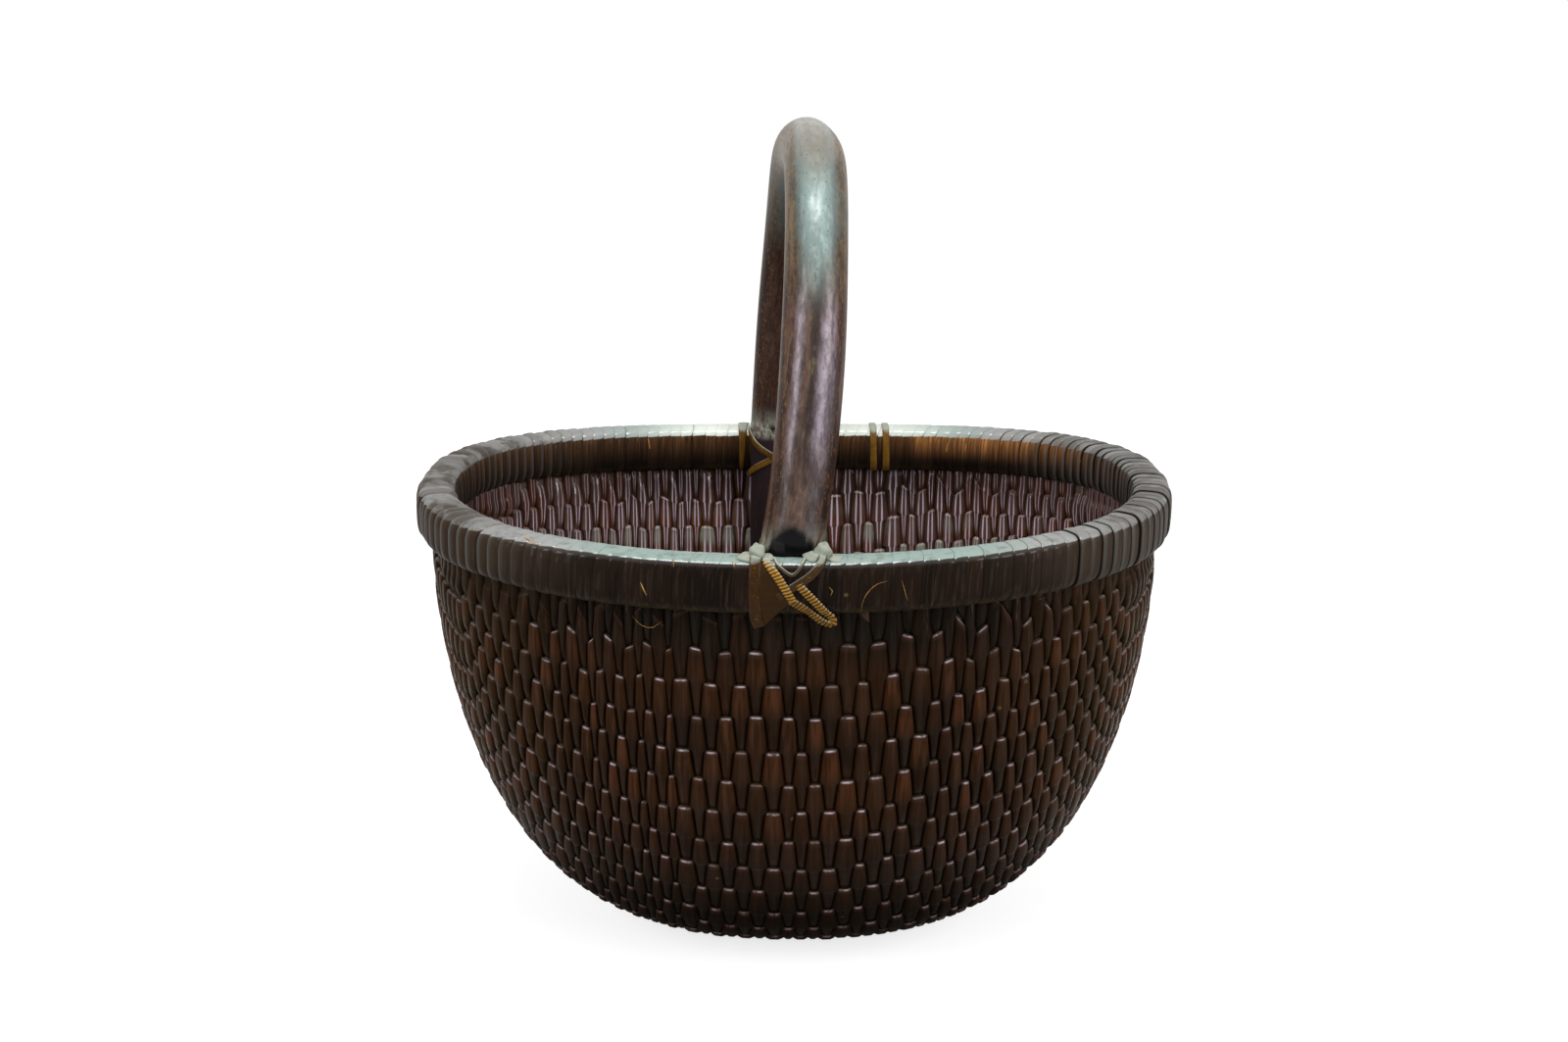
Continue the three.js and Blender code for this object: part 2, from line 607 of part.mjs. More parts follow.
// The flap of bark under the front lashing, bent to the rim's rounded face.
function barkFlap() {
  const outwardAt = (up, standOff) => {
    const share = Math.abs(up) / (RIM_HALF_HEIGHT + standOff);
    return (RIM_HALF_WIDTH + standOff) * (1 - share ** RIM_SECTION_EXPONENT) ** (1 / RIM_SECTION_EXPONENT);
  };
  return loft(BARK_ROWS.map(([up, right]) => [
    stretchPlace(-1, BARK_LEFT, outwardAt(up, GAP), up),
    stretchPlace(-1, right, outwardAt(up, GAP), up),
    stretchPlace(-1, right, outwardAt(up, GAP + BARK_THICKNESS), up),
    stretchPlace(-1, BARK_LEFT, outwardAt(up, GAP + BARK_THICKNESS), up),
  ]));
}

// A tie: a strip round the back rim, from the slot outside to the slot inside.
function rimTie(x) {
  const places = [];
  for (let i = 0; i <= TIE_STEPS; i += 1) {
    const angle = TIE_START_ANGLE + ((TIE_END_ANGLE - TIE_START_ANGLE) * i) / TIE_STEPS;
    places.push(wrapPlace(1, x, angle, GAP + TIE_THICKNESS / 2));
  }
  return flatStrip(places, TIE_WIDTH, TIE_THICKNESS);
}

const colours = {
  willow: { color: 0x3a2115, roughness: 0.5, metalness: 0 },
  endWillow: { color: 0x2f1b12, roughness: 0.55, metalness: 0 },
  hoop: { color: 0x4a3020, roughness: 0.7, metalness: 0 },
  strip: { color: 0x2b221d, roughness: 0.45, metalness: 0 },
  handle: { color: 0x4d3a2f, roughness: 0.35, metalness: 0 },
  lashing: { color: 0x8a6024, roughness: 0.4, metalness: 0 },
  bark: { color: 0x3d2a14, roughness: 0.6, metalness: 0 },
};

const basket = new THREE.Group();

function addPiece(name, geometry, finish) {
  const mesh = new THREE.Mesh(geometry, new THREE.MeshStandardMaterial(finish));
  mesh.name = name;
  basket.add(mesh);
}

for (let i = LEFT_END_RODS; i < ROD_COUNT - RIGHT_END_RODS; i += 1) {
  const number = String(i - LEFT_END_RODS + 1).padStart(2, "0");
  addPiece(`willow_rod_${number}`, willowRod(i), colours.willow);
}
addPiece("end_wall_left", endWall(0, LEFT_END_RODS), colours.endWillow);
addPiece("end_wall_right", endWall(ROD_COUNT - RIGHT_END_RODS, ROD_COUNT), colours.endWillow);
addPiece("rim_hoop_outer", hoop(1), colours.hoop);
addPiece("rim_hoop_inner", hoop(-1), colours.hoop);
addPiece("rim_binding", rimBinding(), colours.strip);
addPiece("handle_pole", handlePole(), colours.handle);
const frontFootX = handleSway(-1);
const backFootX = handleSway(1);
addPiece("front_lashing_under", lashing(-1, -1, frontFootX, false), colours.lashing);
addPiece("front_lashing_over", lashing(-1, 1, frontFootX, true), colours.lashing);
addPiece("back_lashing_under", lashing(1, -1, backFootX, false), colours.lashing);
addPiece("back_lashing_over", lashing(1, 1, backFootX, true), colours.lashing);
addPiece("bark_flap", barkFlap(), colours.bark);
TIE_PLACES.forEach((x, i) => addPiece(`rim_tie_${i + 1}`, rimTie(x), colours.lashing));

export default basket;
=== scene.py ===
"""Looks of an oval gathering basket: woven willow rods, a strip-wound rim and a lashed bentwood handle.

Metres. +Z is up, +X runs along the long side and -Y is the front. The origin is on the ground
under the middle of the basket. Every surface is a grid worked out from the basket's sizes.
"""

import math

import bpy
import numpy as np
from bpy.props import FloatProperty, FloatVectorProperty, IntProperty, PointerProperty
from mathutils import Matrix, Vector


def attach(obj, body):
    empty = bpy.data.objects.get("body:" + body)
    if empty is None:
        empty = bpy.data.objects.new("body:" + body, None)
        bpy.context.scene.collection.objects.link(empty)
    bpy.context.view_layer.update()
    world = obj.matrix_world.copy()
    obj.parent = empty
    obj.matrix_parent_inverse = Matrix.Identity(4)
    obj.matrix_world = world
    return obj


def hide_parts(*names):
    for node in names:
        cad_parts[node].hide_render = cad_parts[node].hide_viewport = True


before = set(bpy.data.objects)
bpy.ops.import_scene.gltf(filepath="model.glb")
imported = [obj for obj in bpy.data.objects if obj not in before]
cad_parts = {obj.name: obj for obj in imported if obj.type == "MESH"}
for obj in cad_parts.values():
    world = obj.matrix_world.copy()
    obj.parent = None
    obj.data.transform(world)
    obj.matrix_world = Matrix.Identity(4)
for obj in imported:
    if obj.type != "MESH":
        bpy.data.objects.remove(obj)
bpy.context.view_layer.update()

bl_info = {
    "name": "Gathering Basket",
    "version": (1, 0, 0),
    "blender": (4, 5, 0),
    "location": "3D View > Sidebar > Basket",
    "description": "Builds a woven willow basket with a wound rim and a lashed handle",
    "category": "Add Mesh",
}

MM = 0.001
# Left between pieces that rest on each other
GAP = 0.3 * MM
ROD_NODES = sorted(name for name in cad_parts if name.startswith("willow_rod"))


def length(name, description, default):
    """A length property, given in millimetres."""
    return FloatProperty(name=name, description=description, default=default * MM, unit="LENGTH")


def share(name, description, default):
    """A plain number property."""
    return FloatProperty(name=name, description=description, default=default)


def tint(name, description, red, green, blue):
    """A colour property, given as the 0 to 255 values that a screen shows."""
    return FloatVectorProperty(
        name=name, description=description, subtype="COLOR", size=3,
        min=0, max=1, default=tuple(linear(v) for v in (red, green, blue)),
    )


def linear(value):
    """Screen value 0 to 255 to light: the inverse of the screen's own curve."""
    v = value / 255
    return v / 12.92 if v <= 0.04045 else ((v + 0.055) / 1.055) ** 2.4


class BasketSizes(bpy.types.PropertyGroup):
    """The sizes that shape the basket."""

    rim_length: length("Rim length", "Outside length of the rim", 450)
    rim_depth: length("Rim depth", "Outside depth of the rim, front to back", 344)
    rim_width: length("Rim width", "Width of the rim's own section", 23)
    rim_height: length("Rim thickness", "Height of the rim's own section", 29)
    rim_roundness: share("Rim roundness", "2 is an ellipse, more is squarer", 3.5)
    rim_level: length("Rim level", "Height of the rim's middle line at the handle", 260)
    rim_end_rise: length("Rim end rise", "How much the rim's two ends stand higher", 8.5)
    plan_roundness: share("Plan roundness", "2 is an ellipse, more is squarer", 2.35)
    strip_pitch: length("Strip pitch", "Width of each turn of the rim strip that shows", 8.6)
    strip_step: length("Strip step", "How far each turn's edge stands over the last, at the ends", 1.35)
    calm_share: share("Calm share", "Share of the strip's step beside the handle", 0.22)

    wall_thickness: length("Wall thickness", "From the outer floats to the inner ones", 8.5)
    side_curve: share("Side curve", "How fast the wall drops below the rim", 1.93)
    belly_curve: share("Belly curve", "How full the bottom is", 3.22)
    base_flattening: length("Base flattening", "How much of the bowl is pressed flat", 3)
    row_count: share("Rows", "Cross strings from the keel to the rim at the handle", 16.53)
    first_row: share("First row", "Rows between the keel and the first cross string", 0.46)
    shortest_rod: length("Shortest rod", "Half length under which rows aren't closer", 190)
    row_tilt: share("Row tilt", "How many rows the strings climb to the right end", 0.58)
    groove_depth: length("Groove depth", "How deep a cross string pulls a rod in", 3)
    left_end_rods: IntProperty(name="Left end rods", description="Rods of the left end wall", default=23)

    handle_diameter: length("Handle diameter", "Thickness of the bent pole", 34)
    handle_rise: length("Handle rise", "Top of the handle over the rim's middle line", 231.5)
    handle_leg: length("Handle leg", "Height over the rim where the arch begins", 40)
    handle_overhang: length("Handle overhang", "How far the pole stands over the rim", 14.5)
    handle_arch: share("Handle arch", "2 is an ellipse, more is squarer", 2.8)
    tongue_depth: length("Tongue depth", "How far the halved ends reach below the rim line", 92)
    lashing_thickness: length("Lashing thickness", "Thickness of a lashing strip", 1.3)
    tie_width: length("Tie width", "Width of a tie on the back rim", 4.6)


class BasketColours(bpy.types.PropertyGroup):
    """The colours of the basket's materials."""

    bark_dark: tint("Willow dark", "Smoked willow bark", 34, 20, 8)
    # Near-black: soot and painted shade under the rim, painted shade between rods, in the strip's grooves
    # and low on the bowl, and dark grain
    bark_black: tint("Willow black", "Soot under the rim", 16, 13, 9)
    # Warm bark: stains, and the warmer upper part of each float, which is partly painted light
    bark_warm: tint("Willow warm", "Rubbed willow bark", 62, 37, 19)
    bark_olive: tint("Willow olive", "Bark toward the ends", 54, 40, 14)
    bark_orange: tint("Willow orange", "Bark worn to orange", 82, 47, 25)
    # Painted glow: a soft highlight fading down from each float's shoulder
    bark_painted_glow: tint("Willow glow", "Rubbed bark just below a shoulder", 84, 55, 40)
    # Pale shoulders: partly wear, partly a painted highlight
    bark_worn_highlight: tint("Willow worn edge", "Worn shoulders of the floats", 232, 208, 220)
    # Willow inside the bowl, painted lighter than the outside as painted light
    inner_bark_lit: tint("Inner willow", "Willow inside the bowl", 122, 92, 80)
    inner_warm_lit: tint("Inner willow warm", "Warmer willow inside the bowl", 128, 74, 50)
    # Painted highlight: pale lines along the floats inside the bowl
    inner_painted_highlight: tint("Inner willow sheen", "Rubbed lines on the floats inside", 232, 216, 238)
    dust: tint("Dust", "Grey-green dust", 146, 148, 136)
    strip_dark: tint("Rim strip", "Smoked rim strip", 24, 17, 13)
    strip_brown: tint("Rim strip brown", "Brown turns of the rim strip", 54, 38, 28)
    strip_olive: tint("Rim strip olive", "Lower edge of the rim strip", 66, 54, 34)
    strip_top: tint("Rim top", "Dusty grey-teal rim top", 146, 164, 157)
    strip_pale: tint("Rim top pale", "Paler dust of the back rim", 222, 228, 218)
    strip_end: tint("Rim end", "Olive-brown rim ends", 60, 49, 38)
    # Grey dust on the rim ends, also painted on the turns' raised edges as a painted highlight
    strip_grey: tint("Rim end top", "Grey top of the rim ends", 156, 157, 155)
    strip_amber: tint("Rim amber", "Amber strips inside", 200, 134, 76)
    pole: tint("Handle brown", "Handle wood", 94, 68, 56)
    pole_dust: tint("Handle grey", "Dusty top of the handle", 96, 108, 106)
    pole_beige: tint("Handle beige", "Worn patches of the handle", 112, 94, 68)
    pole_dark: tint("Handle dark", "Smoked streaks of the handle", 44, 31, 27)
    tongue: tint("Handle tongue", "Dark purple wood of the tongues", 44, 34, 38)
    pole_side: tint("Handle sides", "Olive-grey sides of the arch", 76, 70, 58)
    pole_dust_highlight: tint("Handle shine", "Rubbed dust where the arch turns down", 156, 180, 176)
    # Teal dust with a painted highlight where the arch turns down
    pole_crest: tint("Handle crest", "Grey-beige top of the arch", 118, 113, 100)
    # Painted sheen: lilac streaks down the leg
    pole_painted_sheen: tint("Handle sheen", "Rubbed streaks down the leg", 168, 154, 168)
    pole_gold: tint("Handle flecks", "Golden-brown flecks", 150, 108, 58)
    # Dark colour painted on the scarf at the front foot
    pole_black: tint("Handle scarf", "Tarred cut at the foot of the handle", 22, 20, 22)
    gold: tint("Gold strip", "Golden lashing strips", 202, 150, 64)
    # Dark gold: painted shade in the notches of the strips, and dark stains and grain
    gold_dark: tint("Gold strip shade", "Dark notches of the strips", 46, 28, 10)
    amber: tint("Amber strip", "Varnished brown lashing strips", 62, 38, 8)
    knot_dust: tint("Knot dust", "Pale dust on the knots", 158, 164, 150)
    flap: tint("Bark flap", "Dark bark flap", 48, 31, 9)
    hoop: tint("Hoop wood", "Hoops inside the rim", 74, 50, 34)
    floor: tint("Floor", "Studio floor", 255, 255, 255)


def sizes():
    """The sizes set in the panel."""
    return bpy.context.scene.basket_sizes


def colours():
    """The colours set in the panel."""
    return bpy.context.scene.basket_colours


def signed_power(value, exponent):
    """The value's size raised to a power, with the value's own sign."""
    return np.sign(value) * np.abs(value) ** exponent


def smooth(value, low, high):
    """0 below low, 1 above high, with an S-shaped rise between them."""
    t = np.clip((value - low) / (high - low), 0, 1)
    return t * t * (3 - 2 * t)


def unit(vectors):
    """Vectors divided by their length."""
    return vectors / np.maximum(np.linalg.norm(vectors, axis=-1, keepdims=True), 1e-12)


# Meshes


def grid_faces(rows, columns, closed):
    """Four corners for each cell of a grid of points numbered row by row."""
    r = np.arange(rows - 1)[:, None] * columns
    c = np.arange(columns if closed else columns - 1)[None, :]
    after = (c + 1) % columns
    corners = np.stack([r + c, r + columns + c, r + columns + after, r + after], axis=-1)
    return corners.reshape(-1, 4)


def signed_volume(points, quads):
    """Six times the volume inside the quads, positive when they face out."""
    a, b, c, d = (points[quads[:, k]] for k in range(4))
    return np.einsum("ij,ij->", a, np.cross(b, c)) + np.einsum("ij,ij->", a, np.cross(c, d))


class Shell:
    """Grids gathered into one mesh, with a value or vector attribute for each point."""

    def __init__(self):
        self.points, self.quads, self.caps, self.marks = [], [], [], {}
        self.count = 0

    def add(self, grid, closed=False, capped=False, **marks):
        """Adds a grid of shape rows, columns, 3, whose columns can close to a ring.

        Marks are arrays of shape rows, columns or rows, columns, 3.
        """
        rows, columns = grid.shape[:2]
        flat = grid.reshape(-1, 3)
        quads = grid_faces(rows, columns, closed)
        flip = signed_volume(flat - flat.mean(0), quads) < 0
        if flip:
            quads = quads[:, ::-1]
        self.points.append(flat)
        self.quads.append(quads + self.count)
        if capped:
            first = list(range(columns))
            last = [(rows - 1) * columns + i for i in first][::-1]
            for cap in (first, last):
                ordered = cap[::-1] if flip else cap
                self.caps.append([i + self.count for i in ordered])
        for name, values in marks.items():
            width = 3 if np.ndim(values) == 3 else 1
            spread = np.broadcast_to(values, (rows, columns) + ((3,) if width == 3 else ()))
            self.marks.setdefault(name, []).append(spread.reshape(-1, width))
        self.count += rows * columns

    def tube(self, grid, **marks):
        """Adds a grid whose columns close to a ring, with a cap at both ends."""
        self.add(grid, closed=True, capped=True, **marks)

    def piece(self, name, material, body="root", replaces=()):
        """Makes the mesh object and says what it rides on and stands for."""
        points = np.concatenate(self.points)
        faces = np.concatenate(self.quads).tolist() + self.caps
        mesh = bpy.data.meshes.new(name)
        mesh.from_pydata(points.tolist(), [], faces)
        mesh.polygons.foreach_set("use_smooth", [True] * len(mesh.polygons))
        for mark, parts in self.marks.items():
            values = np.concatenate(parts).astype(np.float32)
            kind = "FLOAT_VECTOR" if values.shape[1] == 3 else "FLOAT"
            layer = mesh.attributes.new(mark, kind, "POINT")
            layer.data.foreach_set("vector" if kind == "FLOAT_VECTOR" else "value", values.ravel())
        mesh.materials.append(material)
        mesh.validate()
        mesh.update()
        made = bpy.data.objects.new(name, mesh)
        bpy.context.scene.collection.objects.link(made)
        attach(made, body)
        if replaces:
            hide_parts(*replaces)
        return made


# The oval and the rim

OVAL_STEPS = 16384


class Oval:
    """The middle line of the rim, walked by length from the left end along the front.

    A point is x = a sign(cos) |cos|^(2/n), y = b sign(sin) |sin|^(2/n), which is the superellipse
    |x/a|^n + |y/b|^n = 1. Its outward direction is the gradient of that sum.
    """

    def __init__(self, s):
        self.n = s.plan_roundness
        self.a = (s.rim_length - s.rim_width) / 2
        self.b = (s.rim_depth - s.rim_width) / 2
        angle = np.pi + np.linspace(0, 2 * np.pi, OVAL_STEPS + 1)
        self.x = self.a * signed_power(np.cos(angle), 2 / self.n)
        self.y = self.b * signed_power(np.sin(angle), 2 / self.n)
        steps = np.hypot(np.diff(self.x), np.diff(self.y))
        self.walked = np.concatenate([[0], np.cumsum(steps)])
        self.around = self.walked[-1]

    def at(self, part):
        """Points on the line at a share of the way round."""
        target = np.mod(part, 1) * self.around
        return np.interp(target, self.walked, self.x), np.interp(target, self.walked, self.y)

    def outward(self, x, y):
        """The gradient at a place, with length 1."""
        across = signed_power(x / self.a, self.n - 1) / self.a
        deep = signed_power(y / self.b, self.n - 1) / self.b
        size = np.maximum(np.hypot(across, deep), 1e-12)
        return across / size, deep / size

    def depth(self, x):
        """Half the oval's depth at x: b (1 - |x/a|^n)^(1/n)."""
        return self.b * np.maximum(0, 1 - np.abs(x / self.a) ** self.n) ** (1 / self.n)


def rim_height(s, oval, x):
    """The height of the rim's middle line, which rises toward the ends with the square of x."""
    return s.rim_level + s.rim_end_rise * (x / oval.a) ** 2


def rim_section(s, angle, inset):
    """The rim's rounded section: angle 0 faces out and a quarter turn faces up."""
    power = 2 / s.rim_roundness
    outward = (s.rim_width / 2 - inset) * signed_power(np.cos(angle), power)
    up = (s.rim_height / 2 - inset) * signed_power(np.sin(angle), power)
    return outward, up


def rim_point(s, oval, part, outward, up):
    """The rim's middle line at a share of the way round, moved outward and up."""
    x, y = oval.at(part)
    nx, ny = oval.outward(x, y)
    return np.stack([x + nx * outward, y + ny * outward, rim_height(s, oval, x) + up], axis=-1)


# The wall

EDGE_STEPS = 500


class Wall:
    """The middle surface of the woven wall.

    With r the place in the oval, 0 in the middle and 1 at the rim, the drop below the rim is
    (1 - r^belly)^(1/side) of the whole depth.
    """

    def __init__(self, s, oval):
        self.s, self.oval = s, oval
        self.top = s.rim_level - s.rim_height / 2 - GAP
        self.deep = self.top - s.wall_thickness / 2 + s.base_flattening

    def height(self, x, y):
        """The wall's height over a place, from r^n = |x/a|^n + |y/b|^n."""
        place = np.abs(x / self.oval.a) ** self.oval.n + np.abs(y / self.oval.b) ** self.oval.n
        power = self.s.belly_curve / self.oval.n
        drop = np.maximum(0, 1 - np.minimum(place, 1) ** power) ** (1 / self.s.side_curve)
        return self.top - self.deep * drop

    def outward(self, x, y, z):
        """The gradient of r^belly + drop^side, which is 1 all over the wall, with length 1."""
        n, a, b = self.oval.n, self.oval.a, self.oval.b
        place = np.abs(x / a) ** n + np.abs(y / b) ** n
        flare = self.s.belly_curve * place ** (self.s.belly_curve / n - 1)
        drop = np.clip((self.top - z) / self.deep, 0, 1)
        return unit(np.stack([
            flare * signed_power(x / a, n - 1) / a,
            flare * signed_power(y / b, n - 1) / b,
            -self.s.side_curve * drop ** (self.s.side_curve - 1) / self.deep,
        ], axis=-1))

    def edge(self, x, parts, lean=0.0):
        """A line of the wall from keel to rim at x, at shares of its own length.

        Positive parts run up the front and negative ones up the back. Lean moves the line
        sideways, growing toward both rims.
        """
        sweep = np.sin(np.linspace(0, np.pi / 2, EDGE_STEPS))
        y = self.oval.depth(x) * sweep
        z = self.height(x, y)
        walked = np.concatenate([[0], np.cumsum(np.hypot(np.diff(y), np.diff(z)))])
        total = walked[-1]
        deep = np.interp(np.abs(parts) * total, walked, y)
        deep = -np.sign(parts) * deep
        across = x + lean * parts
        z = self.height(across, deep)
        points = np.stack([across, deep, z], axis=-1)
        return points, self.outward(across, deep, z), total


# The woven rods

# The number of rods in each stretch of the front rim, from the left, and their width in
# millimetres, which is then fitted to the rim's length
ROD_STRETCHES = ((24, 7.0), (13, 5.45), (17, 8.1), (16, 6.55), (19, 6.6))
ROD_TOTAL = sum(count for count, _ in ROD_STRETCHES)
ROD_SEED = 11
WIDTH_VARIATION = 0.13
PAIR_LEAN = 0.55 * MM
# Sections of each row, from its cross string down, as shares of the row
STATIONS = np.array([0.0, 0.35, 0.8, 1.4, 2.2, 4.0, 7.0, 11.0, 15.0, 18.0, 19.5]) / 20.3
ROD_SIDES = 12
SHOULDER_RISE = 1.5 * MM
TUCK_LENGTH = 8.0 * MM
ROD_PRESS = 0.07 * MM
RIM_PRESS = 0.5 * MM
FLOAT_TAPER = 0.47
FLOAT_WAIST = 0.04
CREST_VARIATION = 0.35 * MM
END_CALM = 0.55
# A rod narrower than this is thinner too
THIN_BELOW = 5.0 * MM
# The share of its thickness that a rod keeps where the hoops squeeze it
SQUEEZED = 0.64
# Shares of the way up to the rim: where the rows' sections stop, and the last two sections
LAST_ROW = 0.982
RIM_PARTS = np.array([0.99, 1.0])
# Squareness of a rod's section, at its sides and on its faces, where 2 is an ellipse
SIDE_SQUARENESS, FACE_SQUARENESS = 2.9, 2.3
# Keep the float numbers of the inside, the back and each rod apart
INSIDE_FLOATS, BACK_FLOATS, ROD_FLOATS = 400, 90, 37.0
# Moves the grain from rod to rod, so that no two share their streaks
GRAIN_SHIFT = 0.013


def rod_layout(oval):
    """Places of the lines between rods along the front rim, and how each line leans.

    Rods differ in width, by a seeded share of the mean width of their stretch, and a pair of
    rods has its thick ends in front where the next pair has them behind.
    """
    widths = np.concatenate([np.full(count, pitch) for count, pitch in ROD_STRETCHES])
    chance = np.random.default_rng(ROD_SEED)
    plain = np.concatenate([[0], np.cumsum(widths)])
    plain *= oval.around / 2 / plain[-1]
    shifts = chance.uniform(-WIDTH_VARIATION, WIDTH_VARIATION, len(plain))
    shifts = shifts * np.concatenate([widths, widths[-1:]]) * MM
    shifts[[0, -1]] = 0
    walked = plain + shifts
    x = np.interp(walked, oval.walked, oval.x)
    number = np.arange(len(x))
    lean = PAIR_LEAN * np.where(number % 4 < 2, 1, -1) * np.where(number % 2 == 0, 1, 0)
    lean = lean * (1 - smooth(np.abs(x), 0.10, 0.16))
    return x, lean


def float_height(along, spacing):
    """How far a rod stands out along a float, from 0 in a groove to 1 on the float.

    Along is 0 at the float's top and 1 at its bottom, two rows lower. At the top the rod rises
    out of the groove in a short quarter round, and at the bottom it sinks slowly. Between them it
    is a low arch, highest at 0.35.
    """
    below_top = 2 * along * spacing
    over_bottom = 2 * (1 - along) * spacing
    shoulder = np.sqrt(np.maximum(0, 1 - np.clip(1 - below_top / SHOULDER_RISE, 0, 1) ** 2))
    tuck = 1 - np.clip(1 - over_bottom / TUCK_LENGTH, 0, 1) ** 2
    crown = 0.9 + 0.1 * np.cos(np.pi * (along - 0.35) / 0.65)
    return np.minimum(shoulder, tuck) * crown


def float_width(along, spacing):
    """How much wider than its mean width a rod is along a float, as a share of that width.

    The float comes out of the groove at about its mean width and widens until the neighbours'
    floats start beside it. There it steps back to its mean width and narrows to its bottom.
    """
    upper = along < 0.5
    local = np.where(upper, along, along - 0.5)
    step = np.sqrt(np.maximum(0, 1 - np.clip(1 - 2 * local * spacing / SHOULDER_RISE, 0, 1) ** 2))
    ramp = -FLOAT_WAIST + FLOAT_TAPER * (1 - (1 - 2 * local) ** 1.6)
    stepped = ramp * step + (FLOAT_WAIST - FLOAT_TAPER) * (1 - step)
    return np.where(upper, stepped, -stepped)


def string_wander(middle, number, side):
    """How far a cross string strays from its even row, in rows: two waves along and across."""
    return 0.05 * np.sin(38 * middle + 2.1 * number) + 0.03 * np.sin(91 * middle - 1.3 * number + side)


class HalfRod:
    """Sections of half a rod from the keel up to the rim, side 1 in front and -1 behind.

    Along each row there are a few sections just below the cross string, where the rod turns
    sharply, and fewer above it. The strings wander a little from their even rows.
    """

    def __init__(self, wall, s, index, x, lean, side):
        middle = (x[index] + x[index + 1]) / 2
        length_of = wall.edge(middle, np.array([1.0]))[2]
        climb = s.row_tilt * smooth(middle, 0.0, 0.12)
        pitch = max(length_of, s.shortest_rod) / length_of / s.row_count
        first = s.first_row + climb
        rows = np.arange(0, int(math.ceil(1 / pitch)) + 3)
        number = (rows[:, None] - STATIONS[::-1][None, :]).ravel()
        part = (number + first + string_wander(middle, number, side)) * pitch
        inside = (part > 0) & (part < LAST_ROW)
        number, part = number[inside], part[inside]
        self.number = np.concatenate([number, RIM_PARTS / pitch - first])
        self.part = np.concatenate([part, RIM_PARTS])
        self.spacing = pitch * length_of
        self.length = length_of
        self.left, out_left, _ = wall.edge(x[index], side * self.part, lean[index])
        self.right, out_right, _ = wall.edge(x[index + 1], side * self.part, lean[index + 1])
        self.normal = out_left + out_right
        parity = (index + 1) % 2 if side > 0 else index % 2
        self.along_outer = 1 - np.mod(self.number - parity, 2) / 2
        self.along_inner = 1 - np.mod(self.number - parity - 1, 2) / 2
        self.float_outer = np.floor((self.number - parity) / 2)
        self.float_inner = np.floor((self.number - parity - 1) / 2) + INSIDE_FLOATS


def chance_of(number):
    """A fixed number from 0 to 1 for each number given, with no visible order."""
    return np.modf(np.abs(np.sin(number * 12.9898) * 43758.5453))[0]


def rod_grid(wall, s, index, x, lean):
    """A whole rod: sections from the front rim down under the base and up to the back rim.

    A section is a squarish oval. Its outer half and its inner half have their own floats, one
    row apart, so where one half is wide and high the other is narrow and sunk. The lines
    between rods move with the floats, so that neighbours stay pressed together. Floats of the
    rim's two ends swell less.
    """
    halves = [HalfRod(wall, s, index, x, lean, side) for side in (1, -1)]

    def whole(name):
        return np.concatenate([getattr(halves[0], name)[::-1], getattr(halves[1], name)])

    left, right, normal = whole("left"), whole("right"), unit(whole("normal"))
    part, spacing = whole("part"), halves[0].spacing
    rim_fade = 1 - smooth(part, 0.95, 1.0)
    middle, span = (left + right) / 2, right - left
    wide = np.linalg.norm(span, axis=1)
    side_way = unit(span)
    beside = np.diff(x)
    before, own, after = (beside[min(max(index + k, 0), ROD_TOTAL - 1)] for k in (-1, 0, 1))
    shared_left, shared_right = (before + own) / 2 / own, (own + after) / 2 / own

    angle = ((np.arange(ROD_SIDES) + 0.5) * 2 * np.pi / ROD_SIDES)[None, :]
    edge_angle = np.pi / ROD_SIDES
    side_power = 2 / SIDE_SQUARENESS
    across = signed_power(np.cos(angle), side_power) / np.cos(edge_angle) ** side_power
    up = signed_power(np.sin(angle), 2 / FACE_SQUARENESS)
    outer = np.sin(angle) > 0
    along = np.where(outer, whole("along_outer")[:, None], whole("along_inner")[:, None])
    floats = np.where(outer, whole("float_outer")[:, None], whole("float_inner")[:, None])
    in_front = np.arange(len(part)) < len(halves[0].part)
    floats = floats + np.where(in_front, 0, BACK_FLOATS)[:, None]
    tone = chance_of(floats + ROD_FLOATS * index)
    even = 1 - END_CALM * smooth(abs(x[index]), 0.15, 0.2)
    swell = float_width(along, spacing) * rim_fade[:, None] * even
    shared_side = np.where(across > 0, shared_right, shared_left)
    reach = wide[:, None] / 2 * (1 + swell * shared_side) + ROD_PRESS
    reach = reach + RIM_PRESS * smooth(part, 0.8, 0.95)[:, None]
    crest = s.wall_thickness / 2 + CREST_VARIATION * (tone - 0.5)
    thin = np.clip(wide / THIN_BELOW, 0.3, 1)[:, None]
    height = (crest - s.groove_depth * (1 - float_height(along, spacing))) * thin
    height = height * (SQUEEZED + (1 - SQUEEZED) * rim_fade[:, None])
    lift = height * up
    grid = (
        middle[:, None, :]
        + side_way[:, None, :] * (reach * across)[..., None]
        + normal[:, None, :] * lift[..., None]
    )
    grid[..., 2] = np.maximum(grid[..., 2], 0)
    walked = part * halves[0].length * np.where(in_front, 1, -1)
    grain = np.stack([
        reach * across + index * GRAIN_SHIFT,
        np.broadcast_to(walked[:, None], along.shape),
        lift,
    ], axis=-1)
    top, bottom = rim_lift(wall, s, grid[0]), rim_lift(wall, s, grid[-1])
    grid = np.concatenate([top[None], grid, bottom[None]])

    def ended(values):
        values = np.broadcast_to(values, along.shape + values.shape[2:])
        return np.concatenate([values[:1], values, values[-1:]])

    return grid, dict(
        along=ended(along), tone=ended(tone), inside=ended(1.0 - outer), grain=ended(grain),
        across=ended(across),
    )


